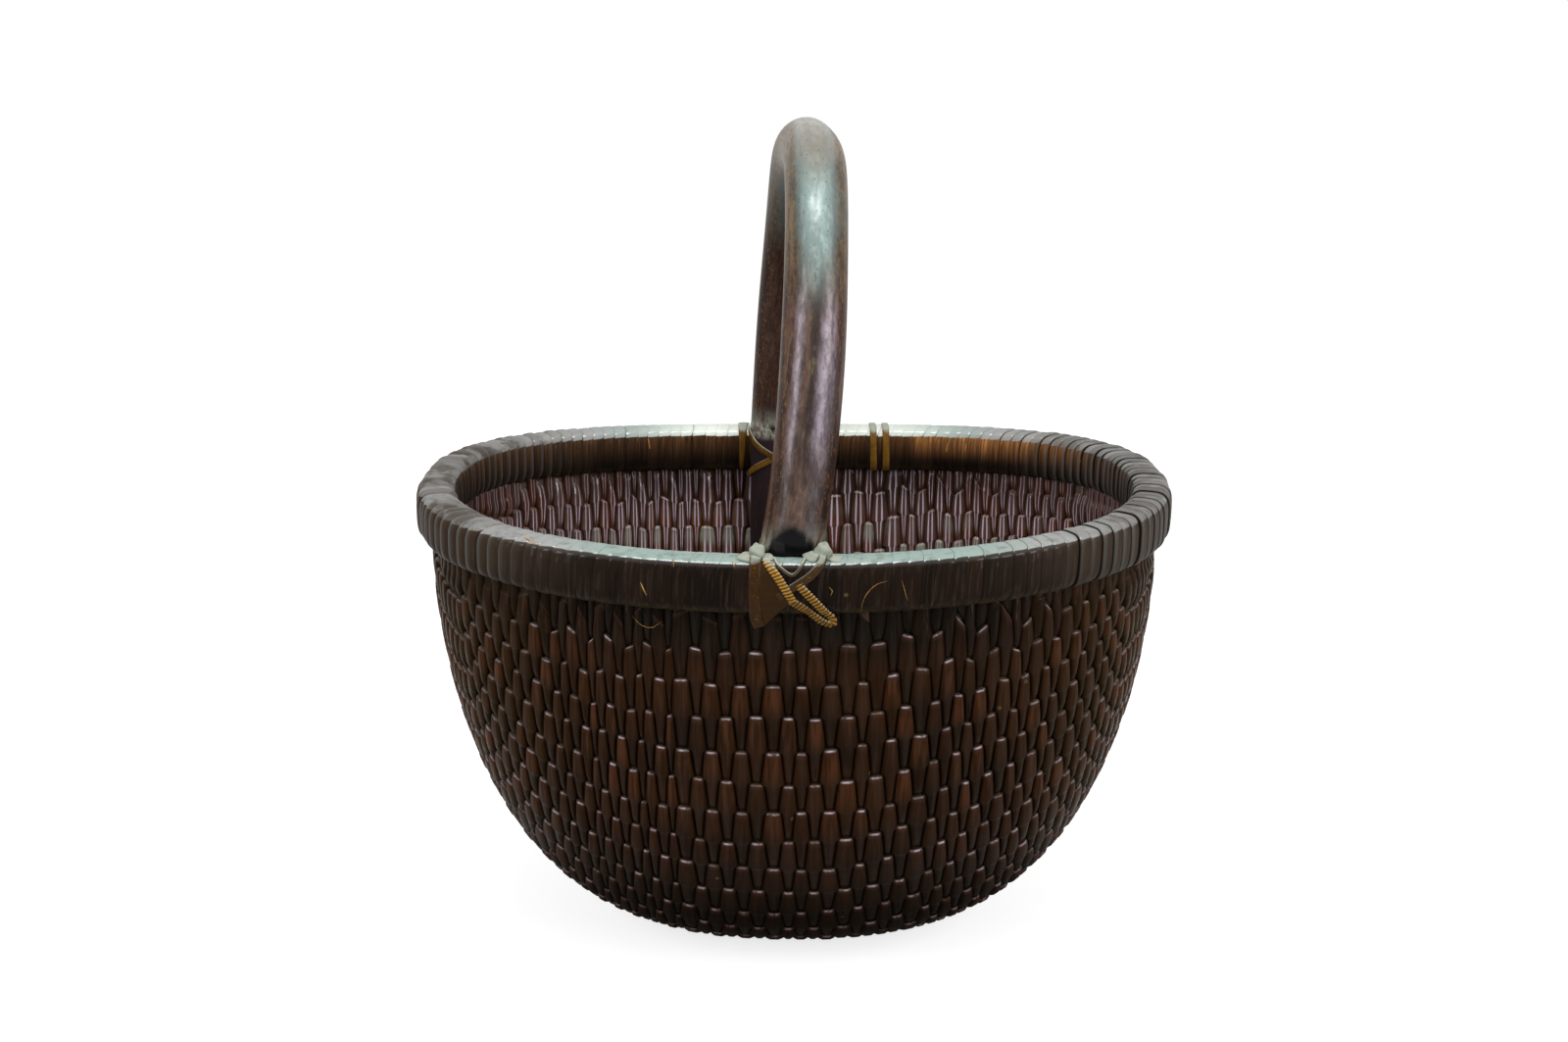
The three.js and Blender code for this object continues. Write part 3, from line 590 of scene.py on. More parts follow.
def rim_lift(wall, s, ring):
    """The end of a rod, carried straight up between the hoops and pressed thinner there."""
    lifted = ring.copy()
    lifted[:, 2] = rim_height(s, wall.oval, ring[:, 0]) + 0.2 * s.rim_height
    middle = lifted.mean(0)
    return middle + (lifted - middle) * np.array([1, 0.6, 1])


# Shader parts


class Value:
    """A node's output that takes plain arithmetic. Each operation adds a node to its tree."""

    def __init__(self, socket):
        self.socket = socket
        self.tree = socket.id_data

    def maths(self, operation, first, second=0.0):
        made = node(self.tree, "ShaderNodeMath", {0: first, 1: second}, operation=operation)
        return Value(made.outputs[0])

    def __add__(self, other):
        return self.maths("ADD", self, other)

    def __sub__(self, other):
        return self.maths("SUBTRACT", self, other)

    def __rsub__(self, other):
        return self.maths("SUBTRACT", other, self)

    def __mul__(self, other):
        return self.maths("MULTIPLY", self, other)

    def __truediv__(self, other):
        return self.maths("DIVIDE", self, other)

    def __abs__(self):
        return self.maths("ABSOLUTE", self)

    def fade(self, low, high, start=0.0, end=1.0):
        """Start below low, end above high, with a smooth change between."""
        sockets = {"Value": self, "From Min": low, "From Max": high, "To Min": start, "To Max": end}
        made = node(self.tree, "ShaderNodeMapRange", sockets, interpolation_type="SMOOTHSTEP")
        return Value(made.outputs["Result"])

    def parts(self):
        """The x, y and z of a vector."""
        split = node(self.tree, "ShaderNodeSeparateXYZ", {"Vector": self})
        return [Value(split.outputs[axis]) for axis in "XYZ"]

    def dot(self, other):
        """How far a vector points the way of another."""
        made = node(self.tree, "ShaderNodeVectorMath", {0: self, 1: other}, operation="DOT_PRODUCT")
        return Value(made.outputs["Value"])

    def noise(self, scale, detail=3.0, rough=0.55):
        """Soft noise from 0 to 1 over a place."""
        sockets = {"Vector": self, "Scale": scale, "Detail": detail, "Roughness": rough}
        return Value(node(self.tree, "ShaderNodeTexNoise", sockets).outputs["Fac"])

    def streaks(self, scales, detail=3.0, rough=0.55):
        """Noise with its own scale along x, y and z, so that it lies in streaks."""
        drawn = node(self.tree, "ShaderNodeMapping", {"Vector": self, "Scale": scales})
        return Value(drawn.outputs["Vector"]).noise(1.0, detail, rough)

    def bump(self, strength, distance):
        """The normal of a surface that this value raises by up to distance."""
        sockets = {"Height": self, "Strength": strength, "Distance": distance}
        return Value(node(self.tree, "ShaderNodeBump", sockets).outputs["Normal"])


def connect(value, socket):
    """Links a Value or another node's output to a socket, or sets the socket to a plain value."""
    source = value.socket if isinstance(value, Value) else value
    if isinstance(source, bpy.types.NodeSocket):
        socket.id_data.links.new(source, socket)
    else:
        socket.default_value = source


def node(tree, kind, sockets=(), **settings):
    """Adds a node: settings are its own values, and sockets are given a value or a link."""
    made = tree.nodes.new(kind)
    for name, value in settings.items():
        setattr(made, name, value)
    for name, value in dict(sockets).items():
        connect(value, made.inputs[name])
    return made


def most(first, *others):
    """The largest of several values."""
    for other in others:
        first = first.maths("MAXIMUM", first, other)
    return first


def mix(amount, first, second):
    """The first colour with a share of the second one over it."""
    first, second = (value if isinstance(value, Value) else (*value, 1) for value in (first, second))
    made = node(amount.tree, "ShaderNodeMix", {0: amount, 6: first, 7: second}, data_type="RGBA")
    return Value(made.outputs[2])


def normal_of(tree):
    """The way the surface faces."""
    return Value(node(tree, "ShaderNodeNewGeometry").outputs["Normal"])


def upward(tree):
    """How much the surface faces up, from -1 to 1."""
    return normal_of(tree).parts()[2]


def group(name, inputs, outputs, build):
    """A node group made once: build turns its inputs into its outputs, which are all numbers."""
    if name in bpy.data.node_groups:
        return bpy.data.node_groups[name]
    tree = bpy.data.node_groups.new(name, "ShaderNodeTree")
    for label, kind in inputs.items():
        tree.interface.new_socket(label, in_out="INPUT", socket_type=kind)
    for label in outputs:
        tree.interface.new_socket(label, in_out="OUTPUT", socket_type="NodeSocketFloat")
    entry = tree.nodes.new("NodeGroupInput").outputs
    leave = tree.nodes.new("NodeGroupOutput").inputs
    made = build(*(Value(entry[label]) for label in inputs))
    for label, value in zip(outputs, made):
        connect(value, leave[label])
    return tree


def fibre_group():
    """Long fibres: noise stretched along the grain, as a value and as a height."""

    def build(grain):
        both = grain.streaks((2200, 60, 2200), 2) * 0.45 + grain.streaks((420, 14, 420), 3) * 0.55
        return both.fade(0.36, 0.64), both

    return group("Fibre", {"Grain": "NodeSocketVector"}, ("Value", "Height"), build)


def dust_group():
    """Dust that lies on what faces up, in patches. Amount 0 is clean and 1 is thick."""

    def build(place, amount):
        patchy = place.noise(38, 4, 0.65) + place.noise(900, 2, 0.7) * 0.35
        wanted = upward(place.tree).fade(0.1, 0.85) * 1.3 + (patchy - 0.95)
        return ((wanted * amount).fade(0.05, 0.75),)

    inputs = {"Place": "NodeSocketVector", "Amount": "NodeSocketFloat"}
    return group("Lying dust", inputs, ("Mask",), build)


def chips_group():
    """Small pale chips and scratches, a few on each hand's breadth."""

    def build(place):
        settings = {"Vector": place, "Scale": 70.0, "Randomness": 1.0}
        cells = node(place.tree, "ShaderNodeTexVoronoi", settings)
        near = Value(cells.outputs["Distance"]).fade(0.045, 0.11, 1, 0)
        chance = node(place.tree, "ShaderNodeSeparateColor", {"Color": cells.outputs["Color"]})
        return (near * Value(chance.outputs[0]).fade(0.86, 0.88),)

    return group("Chips", {"Place": "NodeSocketVector"}, ("Mask",), build)


class Finish:
    """A Principled material whose base colour is painted on in layers.

    Marks are the attributes that the meshes hold for each point.
    """

    def __init__(self, name, roughness, specular, coat=0.0, coat_roughness=0.2):
        self.material = bpy.data.materials.new(name)
        self.material.use_nodes = True
        self.tree = self.material.node_tree
        self.sockets = self.tree.nodes["Principled BSDF"].inputs
        self.sockets["Roughness"].default_value = roughness
        self.sockets["Specular IOR Level"].default_value = specular
        self.sockets["Coat Weight"].default_value = coat
        self.sockets["Coat Roughness"].default_value = coat_roughness
        self.place = Value(node(self.tree, "ShaderNodeTexCoord").outputs["Object"])
        self.base = None

    def mark(self, name):
        return Value(node(self.tree, "ShaderNodeAttribute", attribute_name=name).outputs["Fac"])

    def grain(self):
        """Places on the piece, with y along its fibres."""
        return Value(node(self.tree, "ShaderNodeAttribute", attribute_name="grain").outputs["Vector"])

    def use(self, made, **sockets):
        """Places a node group and gives its outputs in order."""
        placed = node(self.tree, "ShaderNodeGroup", sockets, node_tree=made)
        return [Value(output) for output in placed.outputs]

    def paint(self, colour, amount):
        """Lays a share of a colour over what is painted so far."""
        self.base = mix(amount, self.base, colour)

    def finished(self, **sockets):
        """Links the painted base and what is given for other sockets, such as Normal."""
        for name, value in dict(Base_Color=self.base, **sockets).items():
            connect(value, self.sockets[name.replace("_", " ")])
        return self.material


def willow_material():
    """Smoked willow bark: dark brown, worn to orange on some floats, with pale shoulders that are
    partly worn and partly a painted highlight. Painted shade darkens the floats' edges, the bark
    under the rim and the bottom of the bowl, and the floats' upper parts are painted warmer, partly
    as painted light.

    Inside the bowl the bark is painted lighter and redder, partly as painted light, with painted
    highlight lines along the floats; it is glossier, and dust lies on the flat tops of the floats.
    The along mark is 0 at a float's top and 1 at its bottom, and the across mark is -1 and 1 at
    its edges.
    """
    c = colours()
    bark = Finish("Willow bark", 0.4, 0.02, coat_roughness=0.13)
    fibre, fibre_height = bark.use(fibre_group(), Grain=bark.grain())
    along, tone, inside = bark.mark("along"), bark.mark("tone"), bark.mark("inside")
    x, _, height = bark.place.parts()
    from_middle = abs(x)
    beside = abs(bark.mark("across"))
    stain = bark.place.noise(24, 4)
    streak = bark.grain().streaks((420, 30, 420), 4)

    bark.base = c.bark_dark
    bark.paint(c.bark_warm, stain.fade(0.35, 0.65, 0, 0.6))
    bark.paint(c.bark_black, fibre * 0.5)
    bark.paint(c.bark_olive, from_middle.fade(100 * MM, 200 * MM, 0, 0.45))
    # Partly painted light: the upper part of each float is painted warmer, as if lit from above, and the
    # orange worn patches lie there too
    upper = along.fade(0.02, 0.1) * along.fade(0.2, 0.62, 1, 0)
    bark.paint(c.bark_warm, upper * 0.35)
    chosen = (tone + streak * 2.2).fade(1.6, 2.2, 0, 0.8) * height.fade(70 * MM, 150 * MM, 0.25, 1)
    bark.paint(c.bark_orange, upper * chosen)

    # Painted light: inside the bowl the bark is painted lighter and redder than outside
    inner = mix(tone.fade(0.3, 0.9, 0, 0.8), c.inner_bark_lit, c.inner_warm_lit)
    inner = mix(streak.fade(0.35, 0.65, 0, 0.5), inner, c.bark_warm)
    inner = mix(fibre * 0.35, inner, c.bark_dark)
    bark.paint(inner, inside)

    # Soot and painted shade under the rim: the bark darkens toward the rim, less toward the ends
    soot_and_shade = height.fade(200 * MM, 240 * MM) * inside.fade(0, 1, 0.85, 0.7)
    bark.paint(c.bark_black, soot_and_shade * from_middle.fade(80 * MM, 150 * MM, 1, 0.45))
    # Painted shade between neighbouring rods: each float darkens toward its edges
    bark.paint(c.bark_black, beside.fade(0.5, 1, 0, 0.62))
    # Painted highlights: two pale lines along each float inside the bowl, where the side lamps reflect
    crown = beside.fade(0.16, 0.26) * beside.fade(0.3, 0.44, 1, 0)
    crown = crown * along.fade(0.75, 0.95, 1, 0) * streak.fade(0.3, 0.55, 0.4, 1)
    bark.paint(c.inner_painted_highlight, crown * inside * height.fade(220 * MM, 240 * MM, 0.9, 0.45))
    # Painted shade: the outside of the bowl darkens toward its downward-facing bottom, where it is also matt
    # and without coat
    low = height.fade(30 * MM, 130 * MM, 1, 0) * inside.fade(0, 1, 1, 0)
    bark.paint(c.bark_black, low * 0.8)

    # The floats' shoulders are painted pale, partly wear and partly a painted highlight, over a painted glow
    # that fades below them
    worn = along.fade(0.012, 0.036, 1, 0) * bark.place.noise(330, 2).fade(0.3, 0.6)
    worn = worn * tone.fade(0, 0.7, 0.2, 0.8) * beside.fade(0.3, 0.85, 1, 0.1)
    worn = worn * from_middle.fade(100 * MM, 190 * MM, 0.9, 0.3)
    worn = worn * height.fade(240 * MM, 246 * MM, 1, 0) * (1 - low * 0.6)
    bark.paint(c.bark_painted_glow, along.fade(0.01, 0.12, 0.5, 0))
    bark.paint(c.bark_worn_highlight, worn)

    top = along.fade(0.15, 0.4, 1, 0) * inside * height.fade(190 * MM, 225 * MM, 1, 0)
    top = top * (stain + tone * 0.3).fade(0.5, 0.8)
    bark.paint(c.dust, top * 0.9)
    lying, = bark.use(dust_group(), Place=bark.place, Amount=1.0)
    bark.paint(c.dust, lying * 0.1)
    chips, = bark.use(chips_group(), Place=bark.place)
    bark.paint(c.pole_beige, chips * 0.5)

    sheen_streaks = beside.fade(0.2, 0.8, 0.09, 0) * streak.fade(0.35, 0.6)
    polish = most(along.fade(0.008, 0.038, 0.7, 0), sheen_streaks, inside * crown.fade(0, 1, 0.3, 1))
    return bark.finished(
        Coat_Weight=polish * (1 - top * 0.7) * (1 - low * 0.9),
        Roughness=most(fibre.fade(0, 1, 0.36, 0.54), low),
        Normal=fibre_height.bump(0.3, 0.6 * MM),
    )


def strip_material():
    """The wound rim strip: near-black in front, grey-teal dust on top, amber inside at the back.

    The round mark is 1 on the rim's top and -1 below, the edge mark is 1 in the grooves between
    turns, where painted shade darkens them, and the lip mark is 1 on each turn's raised edge,
    where a painted highlight lies.
    """
    c = colours()
    strip = Finish("Rim strip", 0.42, 0.03, coat_roughness=0.14)
    fibre, fibre_height = strip.use(fibre_group(), Grain=strip.grain())
    tone, level, groove, lip_highlight = (strip.mark(name) for name in ("tone", "round", "edge", "lip_highlight"))
    x, y, _ = strip.place.parts()
    from_middle = abs(x)
    ends = from_middle.fade(120 * MM, 200 * MM)
    back = y.fade(-20 * MM, 20 * MM)
    warm = back * level.fade(-0.5, 0.7)
    patches = strip.place.noise(55, 4, 0.6)
    wear = strip.place.noise(160, 3, 0.6)
    streak = strip.grain().streaks((520, 60, 520), 3, 0.65)

    strip.base = c.strip_dark
    strip.paint(c.strip_brown, tone.fade(0.1, 1, 0, 0.4))
    strip.paint(c.strip_brown, warm * 0.75)
    strip.paint(c.strip_brown, streak.fade(0.5, 0.68, 0, 0.55))
    strip.paint(c.bark_black, streak.fade(0.3, 0.46, 0.75, 0))
    strip.paint(c.bark_black, fibre * 0.4)

    amber = most(x.fade(50 * MM, 120 * MM) * x.fade(165 * MM, 200 * MM, 1, 0), 0.13)
    amber = amber * warm * tone.fade(0, 1, 0.5, 0.95) * streak.fade(0.38, 0.6, 0.35, 1)
    strip.paint(c.strip_amber, amber)
    strip.paint(c.gold, amber * streak.fade(0.58, 0.66, 0, 0.7))

    inward = strip.place.dot(normal_of(strip.tree)).fade(-0.15, 0.1, 0.7, 0)
    outer_end = from_middle.fade(90 * MM, 180 * MM) * (1 - inward)
    strip.paint(c.strip_end, outer_end * level.fade(-0.9, 0.2, 0.35, 0.85))
    strip.paint(c.strip_olive, level.fade(-0.98, -0.6, 0.6, 0) * wear.fade(0.35, 0.6))

    facing_up = upward(strip.tree)
    reach = most(facing_up + ends * 0.3, facing_up + back * 0.42) + (patches - 0.5) * 0.2
    lying = reach.fade(0.74, 0.82)
    top = mix(back * from_middle.fade(50 * MM, 130 * MM, 1, 0), c.strip_top, c.strip_pale)
    top = mix((from_middle + patches * 0.05).fade(110 * MM, 170 * MM), top, c.strip_grey)
    worn = wear.fade(0.45, 0.75, 0, 0.4) * back.fade(0, 1, 1, 0.3)
    grazed = ends * patches.fade(0.46, 0.6, 0, 0.66) * x.fade(-150 * MM, 0, 1.1, 0.8)
    top = mix(most(worn, grazed), top, c.strip_end)
    strip.paint(top, lying * ends.fade(0, 1, 1, 0.7))
    strip.paint(c.strip_brown, ends * tone.fade(0.2, 1, 0.4, 0))
    # Painted highlight on the raised edge of each turn toward the rim's ends
    strip.paint(c.strip_grey, lip_highlight * ends.fade(0, 1, 0, 0.26))
    # Painted shade in the grooves between turns
    strip.paint(c.bark_black, groove * lying.fade(0, 1, 0.85, 0.5))
    chips, = strip.use(chips_group(), Place=strip.place)
    strip.paint(c.pole_beige, chips * 0.6)

    corner = facing_up.fade(0.4, 0.7) * facing_up.fade(0.78, 0.92, 1, 0.1) * ends.fade(0, 1, 1, 0.15)
    return strip.finished(
        Coat_Weight=most(corner, streak.fade(0.5, 0.7, 0, 0.14)),
        Roughness=lying.fade(0, 1, 0.48, 0.66),
        Normal=fibre_height.bump(0.3, 0.5 * MM),
    )


def pole_material():
    """The handle's wood: mottled brown, with painted lilac sheen down the leg and dust over the arch.

    The dust is grey-beige on the crest and teal where the pole turns down in front, with a painted
    highlight there, and its sides are olive grey with golden flecks. A dark arch is painted on the
    scarf at the front foot.
    """
    c = colours()
    pole = Finish("Handle wood", 0.42, 0.05, coat_roughness=0.26)
    grain = pole.grain()
    streak = grain.streaks((160, 160, 12), 4, 0.6)
    mottle = grain.streaks((260, 260, 90), 5, 0.7)
    fleck = grain.streaks((900, 900, 420), 2, 0.6)
    cloud = pole.place.noise(26, 4, 0.6)
    x, y, z = pole.place.parts()
    to_right, to_back, to_top = normal_of(pole.tree).parts()
    behind = y.fade(0, 100 * MM)
    beside = abs(to_right).fade(0.35, 0.8)

    pole.base = c.pole_dark
    pole.paint(c.pole, streak.fade(0.38, 0.6))
    pole.paint(c.pole_dark, mottle.fade(0.47, 0.62, 0, 0.75))
    pole.paint(c.bark_orange, cloud.fade(0.5, 0.68, 0, 0.4))
    pole.paint(c.pole_beige, mottle.fade(0.34, 0.44, 0.55, 0))
    pole.paint(c.pole_dark, behind * 0.55)

    # Painted sheen: lilac streaks down the front of the leg, where the side lamps would reflect
    right = to_right.fade(0.05, 0.42) * to_right.fade(0.48, 0.85, 1, 0)
    left = to_right.fade(-0.72, -0.5) * to_right.fade(-0.46, -0.24, 0.75, 0)
    sheen_streaks = most(left, right) * z.fade(310 * MM, 350 * MM, 0.12, 1) * z.fade(395 * MM, 425 * MM, 1, 0)
    sheen_streaks = sheen_streaks * to_back.fade(-0.5, -0.2, 1, 0) * mottle.fade(0.36, 0.6, 0.95, 0.35)
    pole.paint(c.pole_painted_sheen, sheen_streaks * (1 - behind))

    high = z.fade(395 * MM, 450 * MM)
    sides = mix(mottle.fade(0.42, 0.58), c.pole_beige, c.pole_side)
    pole.paint(sides, high * 0.8)
    dusted = high * ((1 - beside) * 0.45 + cloud).fade(0.5, 0.85)
    pole.paint(c.pole_dust, dusted * 0.92)
    # Painted highlight in the teal dust where the arch turns down toward the front
    teal_dust_highlight = (to_top - to_back).fade(1.15, 1.38) * beside.fade(0, 0.8, 1, 0)
    pole.paint(c.pole_dust_highlight, teal_dust_highlight * high * mottle.fade(0.35, 0.55, 0.9, 0.45))
    pole.paint(c.pole_crest, to_top.fade(0.72, 0.95, 0, 0.85) * high)
    pole.paint(c.pole_gold, fleck.fade(0.58, 0.7, 0, 0.6) * beside.fade(0, 1, 0.35, 1))
    pole.paint(c.pole_dark, fleck.fade(0.3, 0.4, 0.5, 0))

    pole.paint(c.tongue, z.fade(268 * MM, 276 * MM, 0.85, 0))
    rim_dust = z.fade(279 * MM, 296 * MM, 0.75, 0) * z.fade(270 * MM, 276 * MM)
    pole.paint(c.dust, rim_dust * mottle.fade(0.35, 0.6))
    # A dark arch painted on the scarf at the front foot
    scarf = oval_part(x, -2 * MM, 13.5 * MM) + oval_part(z, 270 * MM, 23.5 * MM) + (mottle - 0.5) * 0.9
    dark_scarf = scarf.fade(0.65, 1.15, 1, 0) * y.fade(-150 * MM, -145 * MM, 1, 0)
    pole.paint(c.pole_black, dark_scarf)

    varnish = mottle.fade(0.3, 0.65, 0.9, 0.4) * (1 - most(dark_scarf, behind))
    return pole.finished(
        Coat_Weight=varnish * beside.fade(0, 1, 1, 0.15),
        Roughness=dusted.fade(0, 1, 0.36, 0.44),
        Normal=mottle.bump(0.35, 0.6 * MM),
    )


def oval_part(value, middle, reach):
    """The square of how far a coordinate lies from the middle, as a share of reach."""
    off = (value - middle) / reach
    return off * off


def lashing_material():
    """Lashing strips: golden with painted shade in their notches, or varnished amber brown, dusty where they
    face up.
    """
    c = colours()
    lashing = Finish("Lashing strip", 0.42, 0.04, coat=0.07, coat_roughness=0.18)
    fibre, fibre_height = lashing.use(fibre_group(), Grain=lashing.grain())
    stain = lashing.place.noise(160, 3)
    glint = lashing.place.streaks((300, 300, 1400), 3, 0.7)
    gold = mix(stain.fade(0.5, 0.75, 0, 0.5), c.gold, c.amber)
    # Painted shade in the notches' valleys
    gold = mix(lashing.mark("notch") * 0.9, gold, c.gold_dark)
    brown = mix(stain.fade(0.4, 0.65, 0, 0.7), c.amber, c.gold_dark)
    brown = mix(glint.fade(0.62, 0.7, 0, 0.5), brown, c.gold)
    lashing.base = mix(lashing.mark("gilt"), brown, gold)
    lashing.paint(c.gold_dark, fibre * 0.4)
    lying = most((upward(lashing.tree) + stain * 0.5).fade(0.75, 1.1), lashing.mark("dusty"))
    lashing.paint(c.knot_dust, lying)
    return lashing.finished(
        Roughness=lying.fade(0, 1, 0.28, 0.75), Normal=fibre_height.bump(0.4, 0.5 * MM),
    )


def plain_wood_material(name, light, dark):
    """Wood or bark that is mostly hidden: two tones in fine streaks."""
    wood = Finish(name, 0.55, 0.08)
    streak = wood.place.streaks((60, 260, 260), 4, 0.6)
    wood.base = mix(streak.fade(0.35, 0.65), light, dark)
    return wood.finished(Normal=streak.bump(0.3, 0.6 * MM))


def splinter_material():
    """Fresh golden splinters, streaked from pale to brown."""
    c = colours()
    splinter = Finish("Splinter", 0.4, 0.3)
    splinter.base = mix(splinter.place.noise(400).fade(0.4, 0.65, 0, 0.6), c.gold, c.pole_beige)
    return splinter.finished()


def shared(name, make):
    """The material of that name, made the first time that it is asked for."""
    return bpy.data.materials.get(name) or make()


# The pieces

# The photograph's camera, fitted to the rim's oval and the base line: its focal length in pixels,
# its place and the direction that it looks in
PHOTO_WIDTH, FOCAL_PIXELS, SENSOR_WIDTH = 1600, 2004.1, 36.0
CAMERA_PLACE = (-0.00174, -1.15753, 0.56713)
CAMERA_LOOK = (-0.0035, 0.96459, -0.26372)
# Name, place, the point it faces, width and height, and watts
LAMPS = (
    ("overhead", (-0.1, -0.25, 1.9), (0, 0.05, 0.2), (0.8, 0.5), 17.0),
    ("left_side", (-1.3, -1.05, 0.82), (0, 0.1, 0.3), (0.3, 1.4), 12.0),
    ("right_side", (1.3, -1.0, 0.82), (0, 0.1, 0.3), (0.5, 1.4), 15.0),
)
# Radii of the floor's rings of points, and how many points each has
FLOOR_RINGS = (0.0001, 0.6, 1.5, 3.0, 6.0)
FLOOR_SIDES = 48
FLOOR_DROP = 0.5 * MM


def turn_to(thing, direction):
    """Turns a camera or a lamp to look along a direction."""
    thing.rotation_euler = Vector(direction).to_track_quat("-Z", "Y").to_euler()


def sees_background(tree):
    """1 for rays that show the background: straight to the camera, mirrored or through glass."""
    path = node(tree, "ShaderNodeLightPath").outputs
    rays = ("Is Camera Ray", "Is Glossy Ray", "Is Transmission Ray")
    return most(*(Value(path[ray]) for ray in rays))


class BASKET_OT_stage(bpy.types.Operator):
    """Add the camera, the floor, the lamps and the background"""

    bl_idname = "basket.stage"
    bl_label = "Studio"

    def execute(self, context):
        scene = context.scene
        self.add_camera(scene)
        self.add_background(scene)
        self.add_floor(scene)
        for lamp in LAMPS:
            self.add_lamp(scene, *lamp)
        return {"FINISHED"}

    def add_camera(self, scene):
        data = bpy.data.cameras.new("Camera")
        data.sensor_width = SENSOR_WIDTH
        data.lens = FOCAL_PIXELS / PHOTO_WIDTH * SENSOR_WIDTH
        data.clip_start, data.clip_end = 0.05, 40.0
        camera = bpy.data.objects.new("Camera", data)
        camera.location = CAMERA_PLACE
        turn_to(camera, CAMERA_LOOK)
        scene.collection.objects.link(camera)
        scene.camera = camera
        scene.view_settings.view_transform = "Standard"

    def add_background(self, scene):
        """White where it is seen, and dimmer as a light."""
        world = scene.world or bpy.data.worlds.new("Studio")
        scene.world = world
        world.use_nodes = True
        tree = world.node_tree
        tree.nodes.clear()
        strength = sees_background(tree).fade(0, 1, 0.42, 1)
        back = node(tree, "ShaderNodeBackground", {"Color": (1, 1, 1, 1), "Strength": strength})
        node(tree, "ShaderNodeOutputWorld", {"Surface": back.outputs[0]})

    def add_floor(self, scene):
        radius = np.array(FLOOR_RINGS)[:, None]
        angle = np.linspace(0, 2 * np.pi, FLOOR_SIDES, endpoint=False)[None, :]
        flat = np.zeros_like(radius * angle)
        points = np.stack([radius * np.cos(angle), radius * np.sin(angle), flat], axis=-1)
        shell = Shell()
        shell.add(points, closed=True)
        mesh = bpy.data.meshes.new("floor")
        mesh.from_pydata(shell.points[0].tolist(), [], shell.quads[0].tolist())
        mesh.materials.append(self.floor_material())
        floor = bpy.data.objects.new("floor", mesh)
        floor.location.z = -FLOOR_DROP
        scene.collection.objects.link(floor)

    def add_lamp(self, scene, name, place, aim, size, power):
        lamp = bpy.data.lights.new(name, "AREA")
        lamp.shape = "RECTANGLE"
        lamp.size, lamp.size_y = size
        lamp.energy = power
        holder = bpy.data.objects.new(name, lamp)
        holder.location = place
        turn_to(holder, Vector(aim) - Vector(place))
        scene.collection.objects.link(holder)

    def floor_material(self):
        """White with the basket's soft shadow where it is seen, and plain matt to other light."""
        material = bpy.data.materials.new("Studio floor")
        material.use_nodes = True
        tree = material.node_tree
        tree.nodes.clear()
        matt = node(tree, "ShaderNodeBsdfDiffuse", {"Color": (0.2, 0.2, 0.2, 1)})
        white = {"Color": (*colours().floor, 1), "Strength": 0.74}
        glow = node(tree, "ShaderNodeEmission", white)
        shaded = node(tree, "ShaderNodeBsdfDiffuse", {"Color": (0.62, 0.62, 0.62, 1)})
        bright = node(tree, "ShaderNodeAddShader", {0: glow.outputs[0], 1: shaded.outputs[0]})
        shaders = {0: sees_background(tree), 1: matt.outputs[0], 2: bright.outputs[0]}
        both = node(tree, "ShaderNodeMixShader", shaders)
        node(tree, "ShaderNodeOutputMaterial", {"Surface": both.outputs[0]})
        return material


class BASKET_OT_rods(bpy.types.Operator):
    """Add the willow rods of the front, the base and the back, each a long U over and under the strings"""

    bl_idname = "basket.rods"
    bl_label = "Willow rods"

    def execute(self, context):
        s = sizes()
        wall = Wall(s, Oval(s))
        x, lean = rod_layout(wall.oval)
        material = shared("Willow bark", willow_material)
        for i, name in enumerate(ROD_NODES):
            shell = Shell()
            grid, marks = rod_grid(wall, s, s.left_end_rods + i, x, lean)
            shell.tube(grid, **marks)
            shell.piece(f"woven_rod_{i + 1:02d}", material, replaces=[name])
        return {"FINISHED"}


class BASKET_OT_end_walls(bpy.types.Operator):
    """Add the stacked short rods of the two end walls"""

    bl_idname = "basket.end_walls"
    bl_label = "End walls"

    def execute(self, context):
        s = sizes()
        wall = Wall(s, Oval(s))
        x, lean = rod_layout(wall.oval)
        material = shared("Willow bark", willow_material)
        first_right = s.left_end_rods + len(ROD_NODES)
        for side, rods in (("left", range(0, s.left_end_rods)), ("right", range(first_right, ROD_TOTAL))):
            shell = Shell()
            for index in rods:
                grid, marks = rod_grid(wall, s, index, x, lean)
                shell.tube(grid, **marks)
            shell.piece(f"{side}_end_rods", material, replaces=[f"end_wall_{side}"])
        return {"FINISHED"}


# The rim strip's section: places across it in turns, how far each is raised in steps, how deep in
# the groove it lies, which sets the painted shade there, and how much it is the raised edge, which
# sets the painted highlight there
STRIP_ACROSS = np.array([-0.62, -0.6, -0.55, -0.42, -0.15, 0.12, 0.32, 0.45, 0.5])
STRIP_RAISED = np.array([0.0, 0.62, 0.92, 1.1, 1.12, 0.95, 0.62, 0.25, 0.0])
STRIP_GROOVE_SHADE = np.array([1.0, 0.9, 0.35, 0.0, 0.0, 0.0, 0.1, 0.7, 1.0])
STRIP_LIP_HIGHLIGHT = np.array([0.0, 0.2, 1.0, 0.7, 0.1, 0.0, 0.0, 0.0, 0.0])
STRIP_SLANT = 0.13
STRIP_SEED = 7
# How far the strip's highest place stands out of the rim's section
STRIP_PROUD = 0.54 * MM
TURN_STEPS = 40
TURN_GRAIN_SHIFT = 0.017


